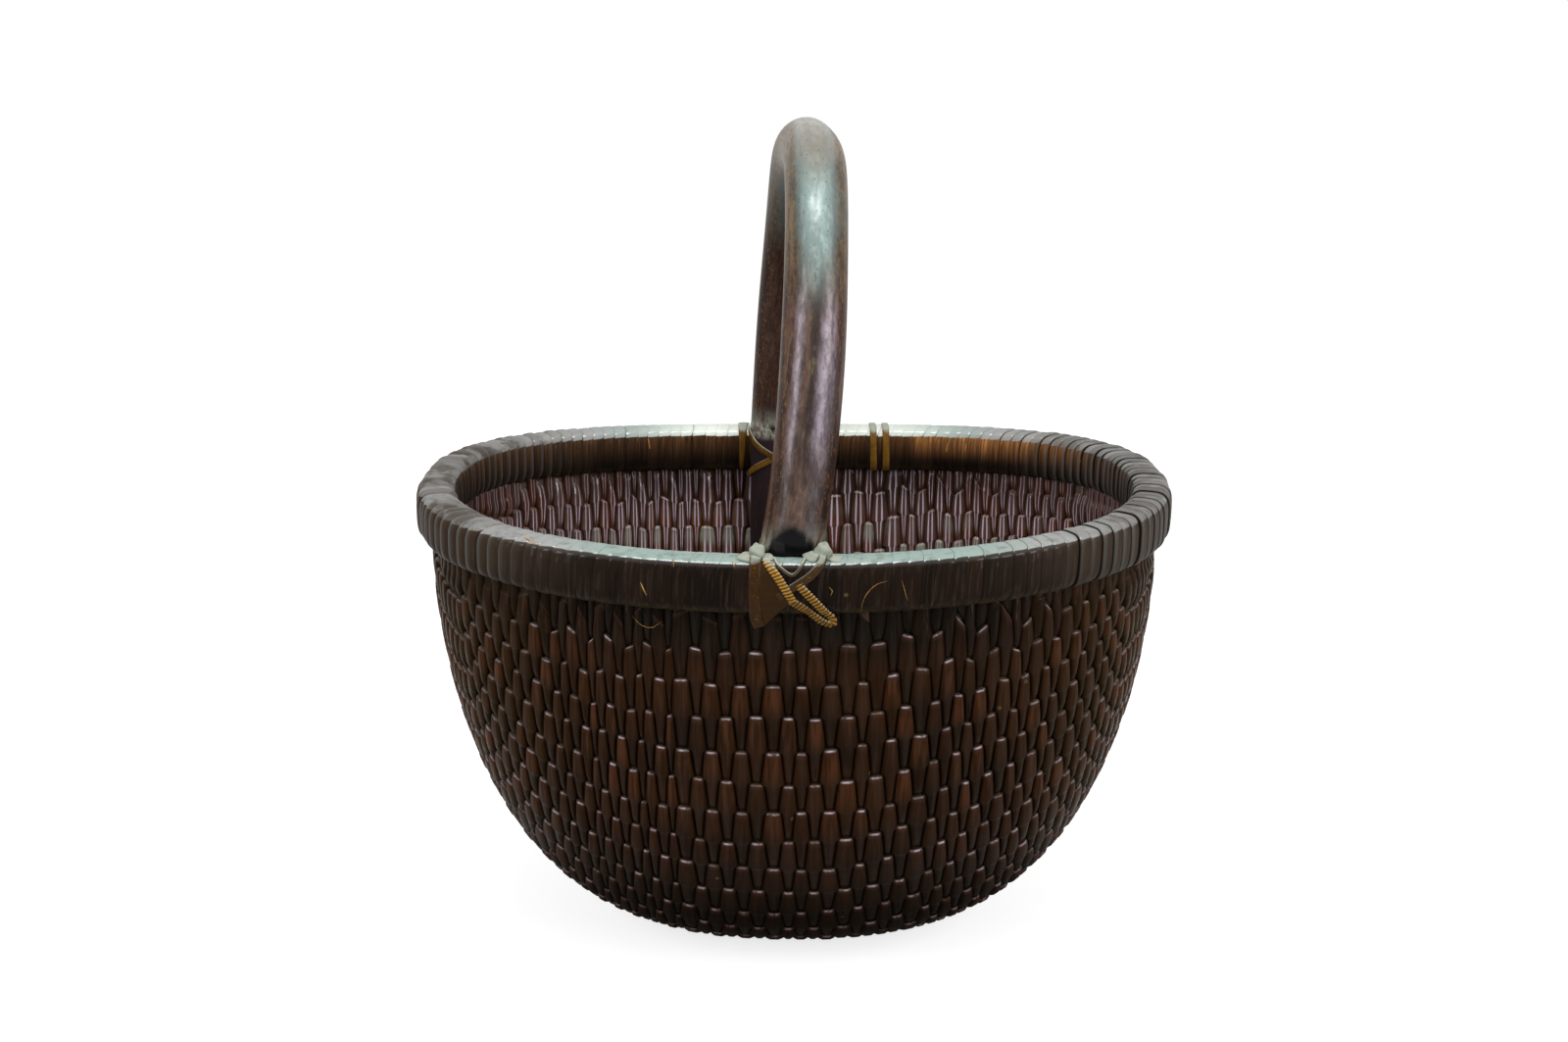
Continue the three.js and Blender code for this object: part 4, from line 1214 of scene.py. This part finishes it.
class BASKET_OT_rim(bpy.types.Operator):
    """Add the strip wound round the rim's two hoops"""

    bl_idname = "basket.rim"
    bl_label = "Rim winding"

    def execute(self, context):
        s = sizes()
        oval = Oval(s)
        shell = Shell()
        grid, marks = self.winding(s, oval)
        shell.add(grid, **marks)
        material = shared("Rim strip", strip_material)
        shell.piece("rim_winding", material, replaces=["rim_binding"])
        c = colours()
        hoop_wood = shared("Hoop wood", lambda: plain_wood_material("Hoop wood", c.hoop, c.pole_dark))
        for name in ("rim_hoop_outer", "rim_hoop_inner"):
            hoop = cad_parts[name]
            hoop.data.materials.clear()
            hoop.data.materials.append(hoop_wood)
        return {"FINISHED"}

    def winding(self, s, oval):
        """The strip as a helix round the rim.

        Turn number q runs from 0 to the number of turns. The section angle is a whole turn for
        each q, and the place along the rim is q - 0.13 sin(2 pi q) + w turns, with w across the
        strip, so the turns slant most on the rim's top. Across w the strip is a low arch whose
        raised edge lies on the last turn. Beside the handle the turns lie calm, and toward the
        rim's ends their steps, grooves and unevenness grow.
        """
        turns = round((oval.around + np.pi * s.rim_width) / s.strip_pitch)
        q = np.arange(turns * TURN_STEPS + 1) / TURN_STEPS
        across = STRIP_ACROSS
        chance = np.random.default_rng(STRIP_SEED)
        tone = chance.random(turns + 2)
        stray = chance.normal(0, 0.05, turns + 2)
        turn = np.floor(q).astype(int)
        to_next = smooth(q - turn, 0.7, 1)

        def eased(values):
            return values[turn] * (1 - to_next) + values[turn + 1] * to_next

        angle = -np.pi / 2 + 2 * np.pi * q
        slant = -STRIP_SLANT * np.sin(2 * np.pi * q)
        place = (q + slant + eased(stray))[:, None] + across[None, :]
        ended = smooth(np.abs(oval.at(place / turns)[0]), 0.10, 0.18)
        step = s.strip_step * (s.calm_share + (1 - s.calm_share) * ended)
        uneven = (eased(tone)[:, None] - 0.5) * (0.15 + 0.75 * ended) * MM
        inset = step * (STRIP_RAISED.max() - STRIP_RAISED[None, :]) - STRIP_PROUD + uneven
        outward, up = rim_section(s, angle[:, None], inset)
        grid = rim_point(s, oval, place / turns, outward, up)
        girth = np.pi * (s.rim_width + s.rim_height) / 2
        grain = np.stack([
            across[None, :] * s.strip_pitch + turn[:, None] * TURN_GRAIN_SHIFT,
            np.broadcast_to((q * girth)[:, None], place.shape),
            np.zeros_like(place),
        ], axis=-1)
        return grid, dict(
            tone=np.broadcast_to(tone[turn][:, None], place.shape),
            edge=STRIP_GROOVE_SHADE[None, :] * (0.25 + 0.75 * ended),
            lip_highlight=np.broadcast_to(STRIP_LIP_HIGHLIGHT[None, :], place.shape),
            round=up / (s.rim_height / 2),
            grain=grain,
        )


# How the handle sways sideways: its shares of 1, p, p^2 and p^3, with p from -1 in front to 1 behind
SWAY = (8.8, -15.8, -15.65, 10.5)
LEG_STEPS, ARCH_STEPS, POLE_STEPS, POLE_SIDES, TONGUE_STEPS = 7, 400, 150, 40, 26
# The tongue ends narrower, thinner and farther left than it begins
TONGUE_NARROWER, TONGUE_THINNER, TONGUE_DRIFT = 0.28, 0.4, -5 * MM
# About the length of both tongues, for the grain
TONGUE_GRAIN = 0.2
# Heights over the seat where the cut face runs out to the full round, and how far inside it lies
SEAT_HEIGHTS = np.array([0, 2, 5]) * MM
SEAT_CUTS = np.array([2.4, 1.4, 0.5]) * MM


def handle_line(s, oval):
    """The handle's middle line: upright legs, then a squarish arch.

    The arch is y = -b cos^(2/n), z = c sin^(2/n) of an angle from 0 in front to pi behind.
    The line sways sideways with a cubic of its share of length, -1 at the front foot to 1 behind.
    """
    foot_y = oval.b - s.rim_width / 2 + s.handle_overhang - s.handle_diameter / 2
    shoulder = s.rim_level + s.rim_height / 2 + GAP
    base = s.rim_level + s.handle_leg
    rise = s.handle_rise - s.handle_diameter / 2 - s.handle_leg
    leg = np.linspace(shoulder, base, LEG_STEPS + 1)[:-1]
    angle = np.linspace(0, np.pi, ARCH_STEPS)
    y = -foot_y * signed_power(np.cos(angle), 2 / s.handle_arch)
    z = base + rise * np.abs(np.sin(angle)) ** (2 / s.handle_arch)
    y = np.concatenate([np.full(LEG_STEPS, -foot_y), y, np.full(LEG_STEPS, foot_y)])
    z = np.concatenate([leg, z, leg[::-1]])
    walked = np.concatenate([[0], np.cumsum(np.hypot(np.diff(y), np.diff(z)))])
    even = np.linspace(0, walked[-1], POLE_STEPS)
    y, z = np.interp(even, walked, y), np.interp(even, walked, z)
    part = 2 * even / walked[-1] - 1
    return np.stack([sway(part), y, z], axis=-1), even, foot_y, shoulder


def sway(part):
    """How far the handle's line lies to the right, a cubic of its share of length."""
    return (SWAY[0] + SWAY[1] * part + SWAY[2] * part ** 2 + SWAY[3] * part ** 3) * MM


class BASKET_OT_handle(bpy.types.Operator):
    """Add the bent pole with its halved ends inside the rim"""

    bl_idname = "basket.handle"
    bl_label = "Handle"

    def execute(self, context):
        s = sizes()
        oval = Oval(s)
        shell = Shell()
        grid, grain = self.pole(s, oval)
        shell.tube(grid, grain=grain)
        material = shared("Handle wood", pole_material)
        shell.piece("bent_handle", material, replaces=["handle_pole"])
        return {"FINISHED"}

    def pole(self, s, oval):
        """Round sections along the line, whose radius waves by about a hundredth.

        Below the shoulder the outer half is cut away flat, and the tongue that is left narrows,
        thins and drifts with its depth inside the basket.
        """
        line, even, foot_y, shoulder = handle_line(s, oval)
        turn = np.linspace(0, 2 * np.pi, POLE_SIDES, endpoint=False)[None, :]
        along = unit(np.gradient(line, axis=0))
        side = unit(np.array([1.0, 0, 0]) - along * along[:, :1])
        face = np.cross(side, along)
        radius = s.handle_diameter / 2
        threefold = 0.012 * np.sin(3 * turn + even[:, None] * 31)
        twofold = 0.01 * np.sin(2 * turn - even[:, None] * 47)
        ring = radius * (1 + threefold + twofold)
        body = (
            line[:, None, :]
            + side[:, None, :] * (ring * np.cos(turn))[..., None]
            + face[:, None, :] * (ring * np.sin(turn))[..., None]
        )
        feet = []
        for end, foot in ((-1, line[0]), (1, line[-1])):
            x_edge = abs(foot[0]) + radius
            limit = oval.depth(x_edge) - s.rim_width / 2 - GAP
            bottom = s.rim_level - s.tongue_depth
            tongue = np.linspace(bottom, shoulder, TONGUE_STEPS)
            heights = np.concatenate([tongue, shoulder + SEAT_HEIGHTS])
            cut = np.concatenate([np.full(TONGUE_STEPS, limit), foot_y + radius - SEAT_CUTS])
            upper = s.rim_level - s.rim_height
            low = np.clip((upper - heights) / (upper - bottom), 0, 1)
            scale = 1 - TONGUE_NARROWER * low ** 1.4
            drift = TONGUE_DRIFT * low
            direction = face[0] if end < 0 else face[-1]
            x = foot[0] + drift[:, None] + radius * scale[:, None] * np.cos(turn)
            y = end * foot_y + direction[1] * radius * scale[:, None] * np.sin(turn)
            y = end * np.minimum(end * y, cut[:, None])
            thin = limit - (limit - end * y) * (1 - TONGUE_THINNER * low[:, None])
            y = np.where(heights[:, None] < shoulder, end * thin, y)
            z = np.broadcast_to(heights[:, None], x.shape)
            feet.append(np.stack([x, y, z], axis=-1))
        grid = np.concatenate([feet[0], body[1:-1], feet[1][::-1]])
        shape = grid.shape[:2]
        lengths = np.linspace(0, even[-1] + TONGUE_GRAIN, shape[0])
        grain = np.stack([
            np.broadcast_to(radius * np.cos(turn), shape),
            np.broadcast_to(radius * np.sin(turn), shape),
            np.broadcast_to(lengths[:, None], shape),
        ], axis=-1)
        return grid, grain


def smooth_line(places, steps):
    """A smooth line through a few places: cubic pieces whose slopes at a place follow its neighbours."""
    places = np.array(places, float)
    walked = np.concatenate([[0], np.cumsum(np.linalg.norm(np.diff(places, axis=0), axis=1))])
    slope = np.gradient(places, walked, axis=0)
    even = np.linspace(0, walked[-1], steps)
    i = np.clip(np.searchsorted(walked, even, side="right") - 1, 0, len(walked) - 2)
    gap = (walked[i + 1] - walked[i])[:, None]
    t = (even - walked[i])[:, None] / gap
    return (
        (2 * t ** 3 - 3 * t ** 2 + 1) * places[i] + (t ** 3 - 2 * t ** 2 + t) * gap * slope[i]
        + (3 * t ** 2 - 2 * t ** 3) * places[i + 1] + (t ** 3 - t ** 2) * gap * slope[i + 1]
    )


# A strip's section from edge to edge over its outer face: shares of half its width and thickness
STRIP_PROFILE = np.array([
    [1, 0.0], [0.93, 0.7], [0.5, 1.05], [0, 1.15], [-0.5, 1.05], [-0.93, 0.7], [-1, 0.0],
    [-0.9, -1], [0.9, -1],
])


def strip_grid(points, facing, width, thickness, notch_pitch=0.0, gilt=0.0, dusty=0.0, end_width=None):
    """A flat strip with rounded edges along points, its broad side looking where facing says.

    With c the cosine of a whole turn for each notch pitch, slanting across the strip, a notched
    strip is 1 + 0.45 c as thick and 1 + 0.1 c as wide. The width can change evenly to end_width.
    Gilt and dusty are the shares of gold and of dust in its look.
    """
    profile = STRIP_PROFILE
    along = unit(np.gradient(points, axis=0))
    side = unit(np.cross(along, facing))
    out = unit(np.cross(side, along))
    walked = np.concatenate([[0], np.cumsum(np.linalg.norm(np.diff(points, axis=0), axis=1))])
    widths = np.linspace(width, end_width or width, len(points))[:, None]
    wave = np.zeros((len(points), len(profile)))
    if notch_pitch:
        wave = np.cos(2 * np.pi * (walked[:, None] / notch_pitch + 0.3 * profile[None, :, 0]))
    thick = thickness / 2 * (1 + 0.45 * wave)
    grid = (
        points[:, None, :]
        + side[:, None, :] * (profile[None, :, 0] * widths / 2 * (1 + 0.1 * wave))[..., None]
        + out[:, None, :] * (profile[None, :, 1] * thick)[..., None]
    )
    grain = np.stack([
        np.broadcast_to(profile[None, :, 0] * widths / 2, grid.shape[:2]),
        np.broadcast_to(walked[:, None], grid.shape[:2]),
        np.broadcast_to(profile[None, :, 1] * thickness, grid.shape[:2]),
    ], axis=-1)
    still = np.zeros(grid.shape[:2])
    return grid, dict(grain=grain, notch=smooth(-wave, -0.5, 0.6), gilt=still + gilt, dusty=still + dusty)


# How far below the middle of the rim's face places no longer bend round the rim but hang down
HANG_FROM = 12.0 * MM
SKIN_STEPS = 4000
BAND_STEPS = 60


class RimSkin:
    """Places on the rim's skin in front (end -1) or behind (end 1).

    Girth is walked round the section from the middle of the outer face: up the face, over the
    top and down the inner face. A place stands off the skin along the section's own normal.
    What reaches below the face hangs straight down.
    """

    def __init__(self, s, oval, end):
        self.s, self.oval, self.end = s, oval, end
        self.angle = np.linspace(-1.2 * np.pi, 1.5 * np.pi, SKIN_STEPS)
        outward, up = rim_section(s, self.angle, 0)
        walked = np.concatenate([[0], np.cumsum(np.hypot(np.diff(outward), np.diff(up)))])
        self.walked = walked - np.interp(0, self.angle, walked)

    def at(self, x, girth, stand_off):
        """A place on the skin and the way that the skin faces there."""
        s = self.s
        hanging = np.maximum(0, -HANG_FROM - girth)
        angle = np.interp(girth + hanging, self.walked, self.angle)
        outward, up = rim_section(s, angle, 0)
        steep = s.rim_roundness - 1
        across = signed_power(outward / (s.rim_width / 2), steep) / s.rim_width
        rise = signed_power(up / (s.rim_height / 2), steep) / s.rim_height
        size = np.hypot(across, rise)
        across, rise = across / size, rise / size
        y = self.end * (self.oval.depth(x) + outward + across * stand_off)
        point = np.stack([x, y, rim_height(s, self.oval, x) + up + rise * stand_off - hanging], axis=-1)
        return point, np.stack([np.zeros_like(y), self.end * across, rise], axis=-1)

    def strip(self, shell, places, width, steps=BAND_STEPS, **kind):
        """Adds a strip through places given as x, girth and stand-off in millimetres."""
        line = smooth_line(np.array(places) * MM, steps)
        points, facing = self.at(line[:, 0], line[:, 1], line[:, 2])
        grid, marks = strip_grid(points, facing, width * MM, self.s.lashing_thickness, **kind)
        shell.tube(grid, **marks)


def knot_grid(middle, radii, seed):
    """A lumpy knot: a ball stretched to radii, its radius waving by a tenth along both angles."""
    down = np.linspace(0.02, np.pi - 0.02, 18)[:, None]
    turn = np.linspace(0, 2 * np.pi, 24, endpoint=False)[None, :]
    ball = 1 + 0.09 * np.sin(3 * turn + 2 * down + seed) + 0.07 * np.cos(5 * down - 2 * turn + 2 * seed)
    away = np.stack([
        np.sin(down) * np.cos(turn), np.sin(down) * np.sin(turn), np.cos(down) * np.ones_like(turn),
    ], axis=-1)
    grid = np.array(middle) + away * ball[..., None] * np.array(radii)
    still = np.zeros(grid.shape[:2])
    return grid, dict(grain=grid, notch=still, gilt=still, dusty=still + 0.95)


# Strips of the lashings: x, girth and stand-off in millimetres
FRONT_OVER = (
    ((-16.5, 22, 1.0), (-14.5, 15, 1.3), (-8.4, 6.8, 1.4), (-3.5, -1.2, 1.3), (-0.6, -6.6, 0.3)),
    ((1.2, 4.2, 0.4), (4.5, 0.8, 1.6), (10.1, -5.1, 1.6), (16.5, -11.8, 1.8), (20.4, -15.6, 1.9),
     (20.2, -18.6, 1.5), (16.2, -18.2, 1.0), (10.6, -14.6, 0.6), (4.2, -9.6, 0.5), (-2.6, -5.4, 0.3)),
)
NOTCH_PITCH = 1.9 * MM
OVER_WIDTH = 4.3
OVER_STEPS = (70, 150)
OVER_GILT = (1.0, 0.7)
FRONT_UNDER = (
    ((-19.4, 33, 0.8), (-19.3, 26, 2.6), (-19.6, 19, 3.6), (-20.4, 14, 1.3), (-20.8, 5, 0.8),
     (-20.8, -9, 0.8), (-20.2, -16, 0.9), (-18.5, -21, 0.5)),
    ((15.8, 33, 0.8), (15.6, 26, 3.0), (15.4, 19, 4.2), (14.6, 14.5, 1.8), (10.1, 9.0, 1.2), (2.6, 3.6, 1.0),
     (-4.4, -1.0, 0.6), (-8.5, -4.2, 0.4)),
    ((-10.5, 19, 0.8), (-8.9, 13.8, 0.9), (-5.4, 10.3, 0.9), (-1.0, 8.2, 0.8), (2.6, 10.8, 0.9),
     (5.0, 15.5, 0.9), (6.0, 20, 0.7)),
)
UNDER_WIDTHS = (6.4, 4.6, 1.9)
UNDER_DUST = (0.0, 0.02, 0.1)
KNOT_FORWARD = 2 * MM
# Knots, in millimetres: x and height over the rim, half sizes, and a number that shapes the lumps
FRONT_KNOTS = (
    (-19.4, 3.4, (4.4, 5.0, 4.6), 1.0), (-24.0, 0.4, (6.0, 6.0, 2.6), 0.4),
    (-14.5, 0.2, (4.6, 5.0, 2.2), 1.9), (15.6, 3.6, (4.6, 5.0, 5.2), 2.3),
    (10.4, 0.8, (5.6, 5.4, 3.2), 3.1), (21.0, 0.0, (5.0, 5.4, 2.0), 0.9),
)
BACK_BAND = (
    (-33.4, -8, 0.7), (-33.8, 8, 0.7), (-34.2, 15, 0.9), (-34.6, 26, 1.0), (-34.6, 36, 0.9),
    (-34.8, 44, 0.9), (-35.2, 52, 0.7), (-35.4, 59, 0.5),
)
BACK_WIDTH, BACK_END_WIDTH = 10.2, 2.6
# Ties behind: where they stand, where each starts and ends round the rim, how far it leans
# sideways from there to there, and how far it stands off
TIE_PLACES = (54.0, 62.5)
TIE_GIRTH = (-20, 62)
TIE_LEAN = (-0.6, 0.8)
TIE_STAND_OFF = 0.8
TIE_STEPS = 14
TIE_GILT = 0.55
# The wrap round a tongue: its width, how far from the crossing one strip starts to rise over the
# other, and how far over the rim's middle it starts and how far it falls, in half rim heights
WRAP_WIDTH = 4.4 * MM
WRAP_CROSSING = 17 * MM
WRAP_START, WRAP_FALL = 1.12, 2.25
# The bark flap: its right edge at heights on the rim's face, its left edge and how much that
# slants in at the bottom, and how far its outer and inner faces stand off the rim
FLAP_HEIGHTS = np.array([14.0, 10.0, 6.0, 0.0, -5.6, -9.0, -13.0, -17.0, -20.4])
FLAP_RIGHTS = np.array([-14.0, -11.5, -8.5, -4.5, -1.8, -4.5, -8.6, -12.6, -16.2])
FLAP_LEFT, FLAP_SLANT = -22.0, 3.5
FLAP_OUTER, FLAP_INNER = 0.85 * MM, 0.2 * MM


class BASKET_OT_lashings(bpy.types.Operator):
    """Add the strips that lash the handle to the rim, the bark flap and the two ties"""

    bl_idname = "basket.lashings"
    bl_label = "Lashings and ties"

    def execute(self, context):
        s = sizes()
        oval = Oval(s)
        front, back = RimSkin(s, oval, -1), RimSkin(s, oval, 1)
        material = shared("Lashing strip", lashing_material)
        self.front_over(s, oval, front, material)
        self.front_under(s, oval, front, material)
        self.back_strips(s, oval, back, material)
        girth = np.linspace(*TIE_GIRTH, TIE_STEPS)
        lean = np.linspace(*TIE_LEAN, TIE_STEPS)
        for number, x in enumerate(TIE_PLACES, 1):
            shell = Shell()
            places = np.stack([x + lean, girth, np.full(TIE_STEPS, TIE_STAND_OFF)], axis=-1)
            back.strip(shell, places, s.tie_width / MM, gilt=TIE_GILT)
            name, stands_for = f"golden_tie_{number}", f"rim_tie_{number}"
            shell.piece(name, material, replaces=[stands_for])
        self.flap(front)
        return {"FINISHED"}

    def front_over(self, s, oval, skin, material):
        """The golden notched strip: down from the left, and out to a loop at the lower right."""
        shell = Shell()
        for places, steps, gilt in zip(FRONT_OVER, OVER_STEPS, OVER_GILT):
            skin.strip(shell, places, OVER_WIDTH, steps, notch_pitch=NOTCH_PITCH, gilt=gilt)
        self.wrap(s, oval, shell, -1, sway(-1.0), 1)
        shell.piece("front_strip_over", material, replaces=["front_lashing_over"])

    def front_under(self, s, oval, skin, material):
        """The varnished brown strips: a band beside the flap, a broad one from the right and a V."""
        shell = Shell()
        for places, width, dusty in zip(FRONT_UNDER, UNDER_WIDTHS, UNDER_DUST):
            skin.strip(shell, places, width, dusty=dusty)
        top = s.rim_level + s.rim_height / 2
        for x, rise, radii, seed in FRONT_KNOTS:
            middle = (x * MM, -(oval.b + KNOT_FORWARD), top + rise * MM)
            grid, marks = knot_grid(middle, np.array(radii) * MM, seed)
            shell.tube(grid, **marks)
        self.wrap(s, oval, shell, -1, sway(-1.0), -1)
        shell.piece("front_strip_under", material, replaces=["front_lashing_under"])

    def back_strips(self, s, oval, skin, material):
        """Behind, a wide band comes over the rim to a point, and two strips cross on the pole."""
        shell = Shell()
        skin.strip(shell, BACK_BAND, BACK_WIDTH, end_width=BACK_END_WIDTH * MM, gilt=0.35)
        self.wrap(s, oval, shell, 1, sway(1.0), -1, gilt=0.5)
        shell.piece("back_strip_under", material, replaces=["back_lashing_under"])
        shell = Shell()
        self.wrap(s, oval, shell, 1, sway(1.0), 1, gilt=0.25)
        shell.piece("back_strip_over", material, replaces=["back_lashing_over"])

    def wrap(self, s, oval, shell, end, foot_x, hand, gilt=0.0):
        """A strip over the rim beside the pole and round the inner side of its tongue.

        Round the tongue the strip is a half circle that falls evenly from the rim's top to below
        its middle, and the strip with hand 1 passes over the other one.
        """
        radius = s.handle_diameter / 2
        lift = s.lashing_thickness + GAP if hand > 0 else 0.0
        foot_y = oval.b - s.rim_width / 2 + s.handle_overhang - radius
        turn = np.pi * np.linspace(0.0, 1.0, 48)
        crossing = np.abs(turn - np.pi / 2) * radius
        near = np.sqrt(np.maximum(0, np.cos(np.pi / 2 * np.minimum(1, crossing / WRAP_CROSSING))))
        around = radius + GAP + s.lashing_thickness / 2 + lift * near
        points = np.stack([
            foot_x - hand * around * np.cos(turn),
            end * (foot_y - around * np.sin(turn)),
            s.rim_level + s.rim_height / 2 * (WRAP_START - WRAP_FALL * turn / np.pi),
        ], axis=-1)
        facing = np.stack([-hand * np.cos(turn), -end * np.sin(turn), np.zeros_like(turn)], axis=-1)
        grid, marks = strip_grid(points, facing, WRAP_WIDTH, s.lashing_thickness, gilt=gilt)
        shell.tube(grid, **marks)

    def flap(self, skin):
        """A thin sheet of bark on the rim's face between the left band and the golden strip.

        At each height it spans from the band to an edge that slants out to its widest place and
        back to the lower tip, and it curls a little like the sine of both directions.
        """
        c = colours()
        girth = np.linspace(FLAP_HEIGHTS[0], FLAP_HEIGHTS[-1], 34)
        right = np.interp(-girth, -FLAP_HEIGHTS, FLAP_RIGHTS)
        left = FLAP_LEFT + FLAP_SLANT * smooth(-girth, 12, 21)
        part = np.linspace(0, 1, 16)[None, :]
        x = (left[:, None] + (right - left)[:, None] * part) * MM
        over = girth[:, None] * MM * np.ones_like(part)
        curl = (0.25 + 0.25 * np.sin(8 * part + girth[:, None] * 0.21)) * MM
        outer, _ = skin.at(x, over, curl + FLAP_OUTER)
        inner, _ = skin.at(x, over, np.full_like(x, FLAP_INNER))
        shell = Shell()
        shell.tube(np.concatenate([outer, inner[:, ::-1]], axis=1))
        material = shared("Bark flap", lambda: plain_wood_material("Bark flap", c.flap, c.gold_dark))
        shell.piece("bark_sheet", material, replaces=["bark_flap"])


# Splinters and hairs on the rim: x, girth and stand-off in millimetres, then the thickness
FRONT_HAIRS = (
    (((35.2, -12.5, 1.0), (36.0, -6.0, 3.4), (38.5, -0.5, 4.6), (43.0, 3.2, 3.4), (49.0, 4.2, 0.8)), 0.24),
    (((-86.0, -19.0, 0.6), (-82.0, -21.4, 2.4), (-75.5, -22.0, 3.2), (-70.0, -19.0, 1.8)), 0.2),
    (((-81.4, 1.6, 0.6), (-79.8, -2.2, 0.9), (-78.0, -6.2, 0.6)), 0.75),
    (((56.6, 4.4, 0.5), (58.2, -1.4, 0.8), (60.0, -8.0, 0.5)), 0.3),
    (((-33.0, 15.5, 0.6), (-32.2, 13.6, 0.8), (-31.2, 11.8, 0.6)), 0.6),
    (((-64.0, 16.0, 0.6), (-63.6, 13.0, 0.8), (-63.4, 10.0, 0.6)), 0.35),
    (((-146.0, 16.0, 0.7), (-141.5, 14.2, 0.9), (-136.0, 14.0, 0.7)), 0.9),
    (((-139.0, 13.2, 0.8), (-136.0, 12.2, 1.0), (-132.5, 11.6, 0.7)), 0.7),
    (((18.2, 2.0, 0.7), (20.0, -0.4, 1.0), (19.2, -3.0, 0.7)), 0.35),
)
BACK_HAIRS = (
    (((103.0, 48, 0.6), (103.4, 42, 0.9), (104.6, 36, 0.8)), 0.7),
    (((115.6, 52, 0.6), (115.4, 45, 0.9), (117.0, 37, 0.9), (118.4, 33, 0.6)), 1.1),
    (((122.8, 44, 0.6), (123.2, 40, 0.9), (124.6, 35, 0.7)), 0.9),
    (((127.8, 47, 0.6), (128.2, 41, 0.9), (130.2, 34, 0.7)), 1.1),
    (((142.8, 52, 0.6), (142.4, 45, 0.9), (144.2, 37, 0.9), (146.0, 33, 0.6)), 1.2),
    (((156.0, 50, 0.6), (156.4, 44, 0.9), (158.8, 37, 0.8)), 1.0),
    (((-142.6, 44, 0.6), (-143.2, 38, 0.9), (-144.0, 34, 0.7)), 0.7),
    (((-110.0, 44, 0.6), (-110.6, 39, 0.9), (-111.6, 34, 0.7)), 0.6),
    (((-97.0, 45, 0.6), (-97.6, 40, 0.9), (-98.4, 35, 0.7)), 0.6),
)
HAIR_SIDES = 6


def hair_grid(points, thickness):
    """A round hair along points that thins to a fifth at both ends, as a half sine."""
    along = unit(np.gradient(points, axis=0))
    side = unit(np.cross(along, np.array([0.13, 0.31, 0.94])))
    other = np.cross(along, side)
    turn = np.linspace(0, 2 * np.pi, HAIR_SIDES, endpoint=False)[None, :]
    taper = 0.2 + 0.8 * np.sin(np.linspace(0, np.pi, len(points)))[:, None]
    ring = thickness / 2 * taper
    return (
        points[:, None, :]
        + side[:, None, :] * (ring * np.cos(turn))[..., None]
        + other[:, None, :] * (ring * np.sin(turn))[..., None]
    )


class BASKET_OT_splinters(bpy.types.Operator):
    """Add the golden splinters and loose hairs of the rim strip"""

    bl_idname = "basket.splinters"
    bl_label = "Splinters"

    def execute(self, context):
        s = sizes()
        oval = Oval(s)
        shell = Shell()
        for end, hairs in ((-1, FRONT_HAIRS), (1, BACK_HAIRS)):
            skin = RimSkin(s, oval, end)
            for places, thickness in hairs:
                line = smooth_line(np.array(places) * MM, 24)
                points, _ = skin.at(line[:, 0], line[:, 1], line[:, 2])
                shell.tube(hair_grid(points, thickness * MM))
        material = shared("Splinter", splinter_material)
        shell.piece("rim_splinters", material)
        return {"FINISHED"}


OPERATORS = (
    BASKET_OT_stage, BASKET_OT_rods, BASKET_OT_end_walls, BASKET_OT_rim,
    BASKET_OT_handle, BASKET_OT_lashings, BASKET_OT_splinters,
)


class BASKET_PT_panel(bpy.types.Panel):
    """Lists the basket's pieces and sizes"""

    bl_idname = "BASKET_PT_panel"
    bl_label = "Gathering Basket"
    bl_space_type = "VIEW_3D"
    bl_region_type = "UI"
    bl_category = "Basket"

    def draw(self, context):
        for operator in OPERATORS:
            self.layout.operator(operator.bl_idname)
        for group_name in ("basket_sizes", "basket_colours"):
            group_of = getattr(context.scene, group_name)
            for name in group_of.__annotations__:
                self.layout.prop(group_of, name)


CLASSES = (BasketSizes, BasketColours, *OPERATORS, BASKET_PT_panel)


def register():
    """Adds the operators, the panel and the sizes and colours of the scene."""
    for cls in CLASSES:
        bpy.utils.register_class(cls)
    bpy.types.Scene.basket_sizes = PointerProperty(type=BasketSizes)
    bpy.types.Scene.basket_colours = PointerProperty(type=BasketColours)


def unregister():
    """Takes them away again."""
    del bpy.types.Scene.basket_colours
    del bpy.types.Scene.basket_sizes
    for cls in reversed(CLASSES):
        bpy.utils.unregister_class(cls)


def main():
    """Builds every piece in order."""
    register()
    for operator in OPERATORS:
        category, name = operator.bl_idname.split(".")
        getattr(getattr(bpy.ops, category), name)()


if __name__ == "__main__":
    main()
